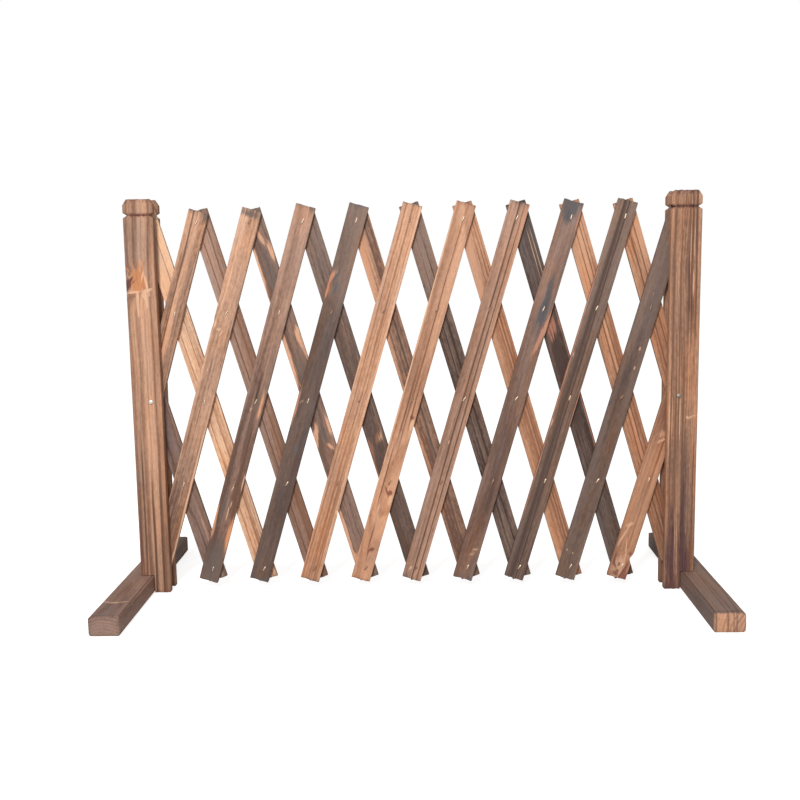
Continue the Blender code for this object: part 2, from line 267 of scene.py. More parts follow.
def pine_group():
    tree = bpy.data.node_groups.new("scorched pine", "ShaderNodeTree")
    for kind, names in (("NodeSocketColor", ("Light", "Dark", "Scorch", "Bare")),
                        ("NodeSocketFloat", ("Streaks",)),
                        ("NodeSocketVector", ("Plank", "Figure", "Finish", "Tint"))):
        for name in names:
            tree.interface.new_socket(name, in_out='INPUT', socket_type=kind)
    for name, kind in (("Color", "NodeSocketColor"), ("Roughness", "NodeSocketFloat"),
                       ("Height", "NodeSocketFloat")):
        tree.interface.new_socket(name, in_out='OUTPUT', socket_type=kind)
    given = tree.nodes.new("NodeGroupInput").outputs
    late, band, knot = add(tree, "ShaderNodeSeparateXYZ", {0: given["Figure"]}).outputs
    scorched, bare, worn = add(tree, "ShaderNodeSeparateXYZ", {0: given["Finish"]}).outputs
    veiled, warmed, _ = add(tree, "ShaderNodeSeparateXYZ", {0: given["Tint"]}).outputs

    fibre, streak, cloud, mottle, pore = (stretched_noise(tree, given["Plank"], *noise)
                                          for noise in (FIBRES, STREAKS, CLOUDS, MOTTLES, PORES))
    pores = soft_step(tree, pore, *PORE_EDGE)
    ragged = calculate(tree, 'SUBTRACT', calculate(tree, 'ADD', fibre, streak), 1.0)
    fine = calculate(tree, 'MULTIPLY', ragged, STREAKINESS)
    fine = add_share(tree, fine, centred(tree, mottle), MOTTLING)
    uneven = calculate(tree, 'MULTIPLY', fine, given["Streaks"])
    uneven = add_share(tree, uneven, centred(tree, cloud), CLOUDINESS)

    line_depth = calculate(tree, 'MULTIPLY', late, calculate(tree, 'ADD', fibre, FAINTEST_FIBRE))
    tone = calculate(tree, 'ADD', line_depth, calculate(tree, 'ADD', band, uneven), clamp=True)
    colour = mix_colours(tree, tone, given["Light"], given["Dark"])
    deepest = calculate(tree, 'MULTIPLY', soft_step(tree, line_depth, *LINE_EDGE), LINE_DARKENING)
    colour = mix_colours(tree, deepest, colour, COAL)
    pitted = calculate(tree, 'MULTIPLY', pores, PORE_DARKENING)
    colour = mix_colours(tree, pitted, colour, given["Dark"])
    bare_mask = soft_step(tree, calculate(tree, 'ADD', bare, ragged), *BARE_EDGE)
    bare_tone = add_share(tree, line_depth, uneven, BARE_UNEVENNESS, clamp=True)
    bared = mix_colours(tree, bare_tone, given["Bare"], given["Dark"])
    colour = mix_colours(tree, bare_mask, colour, bared)
    # This mask scorches the wood, and through the posts' groove mark it also lays painted shade in
    # the V groove.
    burn_and_shade_mask = soft_step(tree, add_share(tree, scorched, ragged, BURN_RAGGEDNESS), *BURN_EDGE)
    burn_and_shade_tone = calculate(tree, 'ADD', line_depth, uneven, clamp=True)
    burnt = mix_colours(tree, burn_and_shade_tone, given["Scorch"], COAL)
    colour = mix_colours(tree, burn_and_shade_mask, colour, burnt)
    colour = mix_colours(tree, calculate(tree, 'MULTIPLY', knot, KNOT_DARKENING), colour, COAL)
    for strength, cast in ((veiled, GREYING), (warmed, WARMING)):
        share = calculate(tree, 'MULTIPLY', strength, 1.0, clamp=True)
        colour = mix_colours(tree, share, colour, cast, 'MULTIPLY')
    rub = soft_step(tree, calculate(tree, 'ADD', worn, ragged), *RUB_EDGE)
    rubbed = mix_colours(tree, RUB_PALENESS, given["Light"], CREAM)
    colour = mix_colours(tree, calculate(tree, 'MULTIPLY', rub, RUB_COVER), colour, rubbed)

    roughness = add_share(tree, PLAIN_ROUGHNESS, fibre, FIBRE_ROUGHNESS)
    height = calculate(tree, 'SUBTRACT', fibre, calculate(tree, 'MULTIPLY', pores, PORE_PIT))
    put_out = tree.nodes.new("NodeGroupOutput").inputs
    for name, value in (("Color", colour), ("Roughness", roughness), ("Height", height)):
        tree.links.new(value, put_out[name])
    return tree


PINE = pine_group()
FIBRE_BUMP = 0.6
FIBRE_HEIGHT = 0.0003
WOOD_GLOSS = 0.25


def pine(node, look):
    """The material of one plank, in its own stains."""
    material, tree = new_material(node.replace("_", " "))
    wood = add(tree, "ShaderNodeGroup", node_tree=PINE)
    for name in ("light", "dark", "scorch", "bare", "streaks"):
        wood.inputs[name.title()].default_value = getattr(look, name)
    for name in ("plank", "figure", "finish", "tint"):
        stored = add(tree, "ShaderNodeAttribute", attribute_name=name)
        tree.links.new(stored.outputs["Vector"], wood.inputs[name.title()])
    bump = add(tree, "ShaderNodeBump", {"Height": wood.outputs["Height"], "Strength": FIBRE_BUMP,
                                        "Distance": FIBRE_HEIGHT})
    shader = connect_surface(tree, wood.outputs["Color"], wood.outputs["Roughness"], bump)
    shader.inputs["Specular IOR Level"].default_value = WOOD_GLOSS
    return material


# %% [markdown]
# ## How a board remembers its tree
#
# A board is a slice of a log. Its lines are growth rings, and each ring has a pale early part and
# a dark late part. So the grain is not drawn, it is calculated: a point's distance from the heart
# of the log, in rings. The heart wanders along the board, which makes the lines run a little
# askew and meet in arches. A knot pushes the rings apart. Smooth random numbers make some rings
# strong and others faint.

# %% Smooth random numbers
TABLE = 256


def drift(values, seed):
    """Smooth random numbers from 0 to 1, with a new one at each whole value."""
    table = np.random.default_rng(seed).random(TABLE)
    cell = np.floor(values).astype(int)
    share = values - cell
    share = share * share * (3 - 2 * share)
    return table[cell % TABLE] * (1 - share) + table[(cell + 1) % TABLE] * share


def cloud(across, along, seed):
    """The same in two directions."""
    row = np.floor(across).astype(int)
    share = across - row
    share = share * share * (3 - 2 * share)
    table = np.random.default_rng(seed).random(TABLE) * TABLE
    lower = drift(along + table[row % TABLE], seed + 1)
    upper = drift(along + table[(row + 1) % TABLE], seed + 1)
    return lower * (1 - share) + upper * share


def smooth(value, start, end):
    share = np.clip((value - start) / (end - start), 0, 1)
    return share * share * (3 - 2 * share)


# %% [markdown]
# ## Looks and marks
#
# A look is what a woodworker would say about one board: its stains, how wide its rings are,
# where the heart of the log lay and how the lines run. Marks are its accidents. Their places are
# shares of the board: up runs from 0 at the lower end to 1 at the upper end, and side from -1 at
# the left edge to 1 at the right edge. Tall and wide are half sizes in metres, and a turned mark
# leans to the right by its angle in degrees. A mark can be a dark line of the grain, a broad band
# in one tone, a knot, a swirl of the rings, a burn, a bare, pale or chipped spot, a grey veil or
# a warm glow. On the posts a burn mark also lays painted shade in the V groove. A look's depth
# says how far the board lies between its light and its dark stain, and toe and head add to that
# at its lower and its upper end.

# %% Looks and marks
Look = namedtuple("Look", "light dark depth toe head lines bands burn wear ring heart_side "
                          "heart_deep slope sway short ends seed marks scorch bare streaks "
                          "veil warm",
                  defaults=(0.5, 0.0, 0.0, 0.5, 0.5, 0.2, 0.3, 0.0042, -0.035, 0.03, 0.006, 0.0012,
                            0.0, 0.75, 1, (), SLATE, EMBER, 1.0, 0.35, 0.35))
Mark = namedtuple("Mark", "kind up side tall wide strength turn", defaults=(0.02, 0.004, 1.0, 0))
# Each mark of the burn kind is scorch, but for the posts' groove mark, which is painted shade in
# the V groove.
Line, Band, Knot, Swirl, BurnAndShade, Bare, Pale, Chip, Veil, Warm = (
    partial(Mark, kind)
    for kind in ("line", "band", "knot", "swirl", "burn", "bare", "pale", "chip", "veil", "warm"))

SWAY_LENGTH = 0.16
HEART_SWING = 0.15
RING_UNEVENNESS = 0.45
RING_PATCH = 0.009, 0.07
RIM_PATCH = 0.0016, 0.010
RIM_RAGGEDNESS = 0.5
KNOT_REACH = 1.9
KNOT_PUSH = 3.2
KNOT_EDGE = 0.45, 0.85
FAINTEST_RING = 0.25
RING_CONTRAST = 1.5
LATE_START, LATE_FULL = 0.45, 0.9
BAND_RINGS = 1.25
RING_BAND_EDGE = 0.25, 0.75
TOE_END = 0.5
HEAD_START = 0.55
LINE_SWING = 0.0006
FLAT_TOP = 4
# Each random pattern adds a number of its own to the board's seed, here and further down. Only
# the rims of marks and the lines have seeds that don't depend on the board.
HEART_SEED, RING_SEED, BAND_SEED = 1, 2, 3
RIM_SEED = 7
LINE_SEED, LINE_SEED_PER_SIDE = 90, 50


def patches(across, along, size, seed):
    """Clouds whose size is given in metres, across and along."""
    return cloud(across / size[0], along / size[1], seed)


def wander(along, seed):
    """A slow random swing from -1 to 1 along a board."""
    return 2 * drift(along / SWAY_LENGTH, seed) - 1


def falloff(mark, across, along, size):
    """1 in the middle of a mark and 0 outside it, with a ragged rim."""
    half, length = size[0] / 2, size[2]
    sideways = across - mark.side * half
    upward = along - mark.up * length
    sine, cosine = math.sin(math.radians(mark.turn)), math.cos(math.radians(mark.turn))
    crosswise = (sideways * cosine - upward * sine) / mark.wide
    lengthwise = (sideways * sine + upward * cosine) / mark.tall
    ragged = 1 + RIM_RAGGEDNESS * (patches(across, along, RIM_PATCH, RIM_SEED) - 0.5)
    return np.exp(-(crosswise ** 2 + lengthwise ** 2) * ragged ** 2)


def growth_rings(look, across, deep, along, size):
    """Rings between the heart of the log and each point."""
    middle = along - size[2] / 2
    heart_side = look.heart_side + look.slope * middle + look.sway * wander(along, look.seed)
    heart_deep = look.heart_deep * (1 + HEART_SWING * wander(along, look.seed + HEART_SEED))
    rings = np.hypot(across - heart_side, deep - heart_deep) / look.ring
    uneven = patches(across, along, RING_PATCH, look.seed + RING_SEED) - 0.5
    rings = rings + RING_UNEVENNESS * uneven
    for mark in look.marks:
        if mark.kind == "knot":
            wide = mark._replace(wide=mark.wide * KNOT_REACH, tall=mark.tall * KNOT_REACH)
            rings = rings + KNOT_PUSH * mark.strength * falloff(wide, across, along, size)
        if mark.kind == "swirl":
            rings = rings + mark.strength * falloff(mark, across, along, size)
    return rings


def figure_of(look, across, deep, along, size):
    """Late wood, broad band and knot at each point, all from 0 to 1."""
    rings = growth_rings(look, across, deep, along, size)
    number = np.floor(rings).astype(int)
    share = rings - number
    chance = np.random.default_rng(look.seed).random(TABLE)[number % TABLE] ** RING_CONTRAST
    strength = FAINTEST_RING + (1 - FAINTEST_RING) * chance
    late = smooth(share, LATE_START, LATE_FULL) * (1 - smooth(share, LATE_FULL, 1.0))
    late = late * strength * look.lines
    up = along / size[2]
    broad = smooth(drift(rings / BAND_RINGS, look.seed + BAND_SEED), *RING_BAND_EDGE)
    band = look.depth + (broad - 0.5) * look.bands
    band = band + look.toe * (1 - smooth(up, 0.0, TOE_END))
    band = band + look.head * smooth(up, HEAD_START, 1.0)
    knot = np.zeros_like(across)
    for mark in look.marks:
        if mark.kind == "line":
            sway = wander(along * 2, int(LINE_SEED + mark.side * LINE_SEED_PER_SIDE))
            route = mark.side * size[0] / 2 + LINE_SWING * sway
            reach = np.exp(-((along - mark.up * size[2]) / mark.tall) ** FLAT_TOP)
            depth = mark.strength * reach * np.exp(-((across - route) / mark.wide) ** 2)
            late = np.maximum(late, depth)
        if mark.kind == "band":
            edge = np.exp(-(((across - mark.side * size[0] / 2) / mark.wide) ** FLAT_TOP
                            + ((along - mark.up * size[2]) / mark.tall) ** FLAT_TOP))
            band = band * (1 - edge) + mark.strength * edge
        if mark.kind == "knot":
            core = falloff(mark, across, along, size)
            knot = np.maximum(knot, mark.strength * smooth(core, *KNOT_EDGE))
    return late, band, knot


# %% [markdown]
# ## Burns, bare patches and worn edges
#
# A flame catches ends and edges first, and dull patches on the face. Where the burn is missed,
# the wood stays orange. Handling rubs the corners pale again, and weather draws a grey veil over
# parts of a board. All of it is a few smooth masks, added up for each vertex. The scorch mask also
# carries the painted shade along the posts' V groove.

# %% Finish masks
END_BURN = 0.007
BURN_PATCH = 0.012, 0.09
BURN_PATCH_EDGE = 0.45, 0.8
ARRIS_WEAR = 0.0022
WEAR_LENGTH = 0.022
LEAST_WEAR = 0.35
WEAR_SWING = 0.9
KNOT_RIM = 1.25
KNOT_BARE = 0.9
VEIL_PATCH = 0.011, 0.07
VEIL_EDGE = 0.4, 0.85
WARM_PATCH = 0.008, 0.05
WARM_EDGE = 0.5, 0.9
BURN_SEED, WEAR_SEED, VEIL_SEED, WARM_SEED = 5, 6, 11, 12


def finish_of(look, across, deep, along, size):
    """How scorched, bare and worn each point is; scorch holds the painted V-groove shade."""
    half, thick, length = size[0] / 2, size[1] / 2, size[2]
    to_end = np.minimum(along, length - along)
    to_side = half - np.abs(across)
    to_face = thick - np.abs(deep)
    scorched = look.ends * np.exp(-to_end / END_BURN)
    burns = patches(across, along, BURN_PATCH, look.seed + BURN_SEED)
    scorched = scorched + look.burn * smooth(burns, *BURN_PATCH_EDGE)
    bare = np.zeros_like(across)
    worn = look.wear * np.exp(-np.hypot(to_side, to_face) / ARRIS_WEAR)
    worn = worn * (LEAST_WEAR + WEAR_SWING * drift(along / WEAR_LENGTH, look.seed + WEAR_SEED))
    for mark in look.marks:
        amount = falloff(mark, across, along, size) * mark.strength
        # The posts' groove mark also adds here, as painted shade in the V groove.
        if mark.kind == "burn":
            scorched = scorched + amount
        elif mark.kind in ("bare", "chip"):
            bare = bare + amount
            scorched = scorched * (1 - np.clip(amount, 0, 1))
        elif mark.kind == "pale":
            worn = worn + amount
        elif mark.kind == "knot":
            rim = mark._replace(wide=mark.wide * KNOT_RIM, tall=mark.tall * KNOT_RIM)
            bare = bare + KNOT_BARE * falloff(rim, across, along, size) * mark.strength
    return scorched, bare, worn


def tint_of(look, across, along, size):
    """How greyed and how warmed each point is. The third number isn't used."""
    greyed = patches(across, along, VEIL_PATCH, look.seed + VEIL_SEED)
    warmed = patches(across, along, WARM_PATCH, look.seed + WARM_SEED)
    veil = look.veil * smooth(greyed, *VEIL_EDGE)
    warm = look.warm * smooth(warmed, *WARM_EDGE)
    for mark in look.marks:
        if mark.kind == "veil":
            veil = veil + mark.strength * falloff(mark, across, along, size)
        elif mark.kind == "warm":
            warm = warm + mark.strength * falloff(mark, across, along, size)
    return veil, warm, np.zeros_like(across)


# %% [markdown]
# ## A block with loop cuts
#
# Each board starts as a cube, scaled to its size and cut by loop cuts into cells narrow enough
# across the grain to carve its lines, and longer along it. Its edges are eased in the mesh too:
# a point that is further from the inner box than the radius is drawn in to it.

# %% Blocks
CELL_ACROSS = 0.00075
CELL_DEEP = 0.0011
CELL_ALONG = 0.003
POST_CELL = 0.002
NEARLY = 0.9
SHARP_WOOD = math.radians(38)
SHARP_STEEL = math.radians(40)


def mesh_from(bm, name):
    mesh = bpy.data.meshes.new(name)
    bm.to_mesh(mesh)
    bm.free()
    return mesh


def show(name, mesh, material):
    obj = bpy.data.objects.new(name, mesh)
    bpy.context.scene.collection.objects.link(obj)
    mesh.materials.append(material)
    return obj


def smooth_shade(mesh, sharp):
    """Smooth shading, but for edges that turn by more than an angle."""
    mesh.shade_smooth()
    mesh.set_sharp_from_angle(angle=sharp)


def runs_along(edge, axis):
    direction = edge.verts[1].co - edge.verts[0].co
    return abs(direction[axis]) > NEARLY * direction.length


def block(low, high, cells):
    """A box from corner to corner, cut into cells in all three directions."""
    bm = bmesh.new()
    bmesh.ops.create_cube(bm, size=1)
    place = Matrix.Translation((low + high) / 2) @ Matrix.Diagonal((*(high - low), 1))
    bmesh.ops.transform(bm, matrix=place, verts=bm.verts)
    for axis in range(3):
        edges = [edge for edge in bm.edges if runs_along(edge, axis)]
        bmesh.ops.subdivide_edges(bm, edges=edges, cuts=cells[axis] - 1, use_grid_fill=True)
    return bm


def read_points(mesh):
    points = np.empty(len(mesh.vertices) * 3)
    mesh.vertices.foreach_get("co", points)
    return points.reshape(-1, 3)


def write_points(mesh, points):
    mesh.vertices.foreach_set("co", points.ravel())
    mesh.update()


def ease_edges(points, low, high, radius, axes=(0, 1, 2)):
    """Draws the points near a block's edges in to a radius."""
    inner = points.copy()
    for axis in axes:
        inner[:, axis] = np.clip(points[:, axis], low[axis] + radius, high[axis] - radius)
    out = points - inner
    reach = np.linalg.norm(out, axis=1, keepdims=True)
    return inner + out * np.minimum(1, radius / np.maximum(reach, radius))


# %% [markdown]
# ## Carving the grain
#
# Brushing takes away the soft early wood and leaves the late wood standing. So every vertex moves
# inwards along its normal, most where there is no late wood. Nothing moves outwards, which keeps
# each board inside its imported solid, so that the layers never touch as the fence opens.

# %% Carve
# A board's seed shifts the fine noise by these steps, across and along, so no two look the same.
PLANK_STEP = 0.37, 0.61
RELIEF = 0.00026
WAVE = 0.000132
WAVE_PATCH = 0.011, 0.06
WAVE_LENGTH = 0.03
SIDE_WAVE = 0.5
KNOT_SINK = 0.0004
END_ROUGHNESS = 0.0013
END_STEP = 0.004
END_SPLINTERS = 0.3
WAVE_SEED, SIDE_SEED, END_SEED = 8, 9, 10
CHIP_DEPTH = 0.0032


def store(mesh, name, columns):
    attribute = mesh.attributes.new(name, 'FLOAT_VECTOR', 'POINT')
    attribute.data.foreach_set("vector", np.stack(columns, axis=1).astype(np.float32).ravel())


def carve(mesh, look, low, high, order=(0, 1, 2)):
    """Stores the grain on a mesh and carves it. order names the axes across, deep and along."""
    points = read_points(mesh)
    normals = np.empty(points.size)
    mesh.vertex_normals.foreach_get("vector", normals)
    normals = normals.reshape(-1, 3)
    size = [(high - low)[axis] for axis in order]
    across = points[:, order[0]] - (low + high)[order[0]] / 2
    deep = points[:, order[1]] - (low + high)[order[1]] / 2
    along = points[:, order[2]] - low[order[2]]
    late, band, knot = figure_of(look, across, deep, along, size)
    scorched, bare, worn = finish_of(look, across, deep, along, size)
    step_across, step_along = (look.seed * step for step in PLANK_STEP)
    store(mesh, "plank", (across + step_across, deep, along + step_along))
    store(mesh, "figure", (late, band, knot))
    store(mesh, "finish", (scorched, bare, worn))
    store(mesh, "tint", tint_of(look, across, along, size))

    wave = patches(across, along, WAVE_PATCH, look.seed + WAVE_SEED)
    wave = wave + SIDE_WAVE * drift(along / WAVE_LENGTH, look.seed + SIDE_SEED)
    inward = RELIEF * (1 - np.clip(late, 0, 1)) + WAVE * wave + KNOT_SINK * knot
    points = points - normals * inward[:, None]
    to_end = np.minimum(along, size[2] - along)
    ragged = (1 - END_SPLINTERS) * drift(across / END_STEP, look.seed + END_SEED)
    ragged = END_ROUGHNESS * (ragged + END_SPLINTERS * late) * (to_end < POST_CELL / 2)
    points[:, order[2]] += np.where(along < size[2] / 2, ragged, -ragged)
    for mark in look.marks:
        if mark.kind == "chip":
            bite = mark._replace(wide=CHIP_DEPTH)
            amount = CHIP_DEPTH * mark.strength * falloff(bite, across, along, size)
            points[:, order[0]] -= np.sign(mark.side) * amount
    write_points(mesh, points)


# %% [markdown]
# ## Slats
#
# A slat leans, so it is made upright, in axes that lean with it, and turned at the end. Its size
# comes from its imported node, read in those same axes.

# %% Slat maker
SLAT_ARRIS = 0.0009


def leaning_box(node, lean):
    """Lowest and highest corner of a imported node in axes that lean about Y."""
    back = Matrix.Rotation(-lean, 3, 'Y')
    corners = [back @ vert.co for vert in frame["nodes"][node].data.vertices]
    return (Vector(min(corner[axis] for corner in corners) for axis in range(3)),
            Vector(max(corner[axis] for corner in corners) for axis in range(3)))


def cells_for(size, steps):
    return [max(2, round(side / step)) for side, step in zip(size, steps)]


def slat(node, lean, look):
    low, high = leaning_box(node, lean)
    high.z -= look.short
    cells = cells_for(high - low, (CELL_ACROSS, CELL_DEEP, CELL_ALONG))
    mesh = mesh_from(block(low, high, cells), node + "_board")
    write_points(mesh, ease_edges(read_points(mesh), low, high, SLAT_ARRIS))
    carve(mesh, look, low, high)
    mesh.transform(Matrix.Rotation(lean, 4, 'Y'))
    smooth_shade(mesh, SHARP_WOOD)
    obj = show(node + "_board", mesh, pine(node, look))
    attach(obj, node + "_set")
    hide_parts(node)
    return obj


# %% [markdown]
# ## The eleven front slats
#
# They lean to the right at the top. No two boards of such a fence match, so each has its own
# look here, from the left stand to the right one.

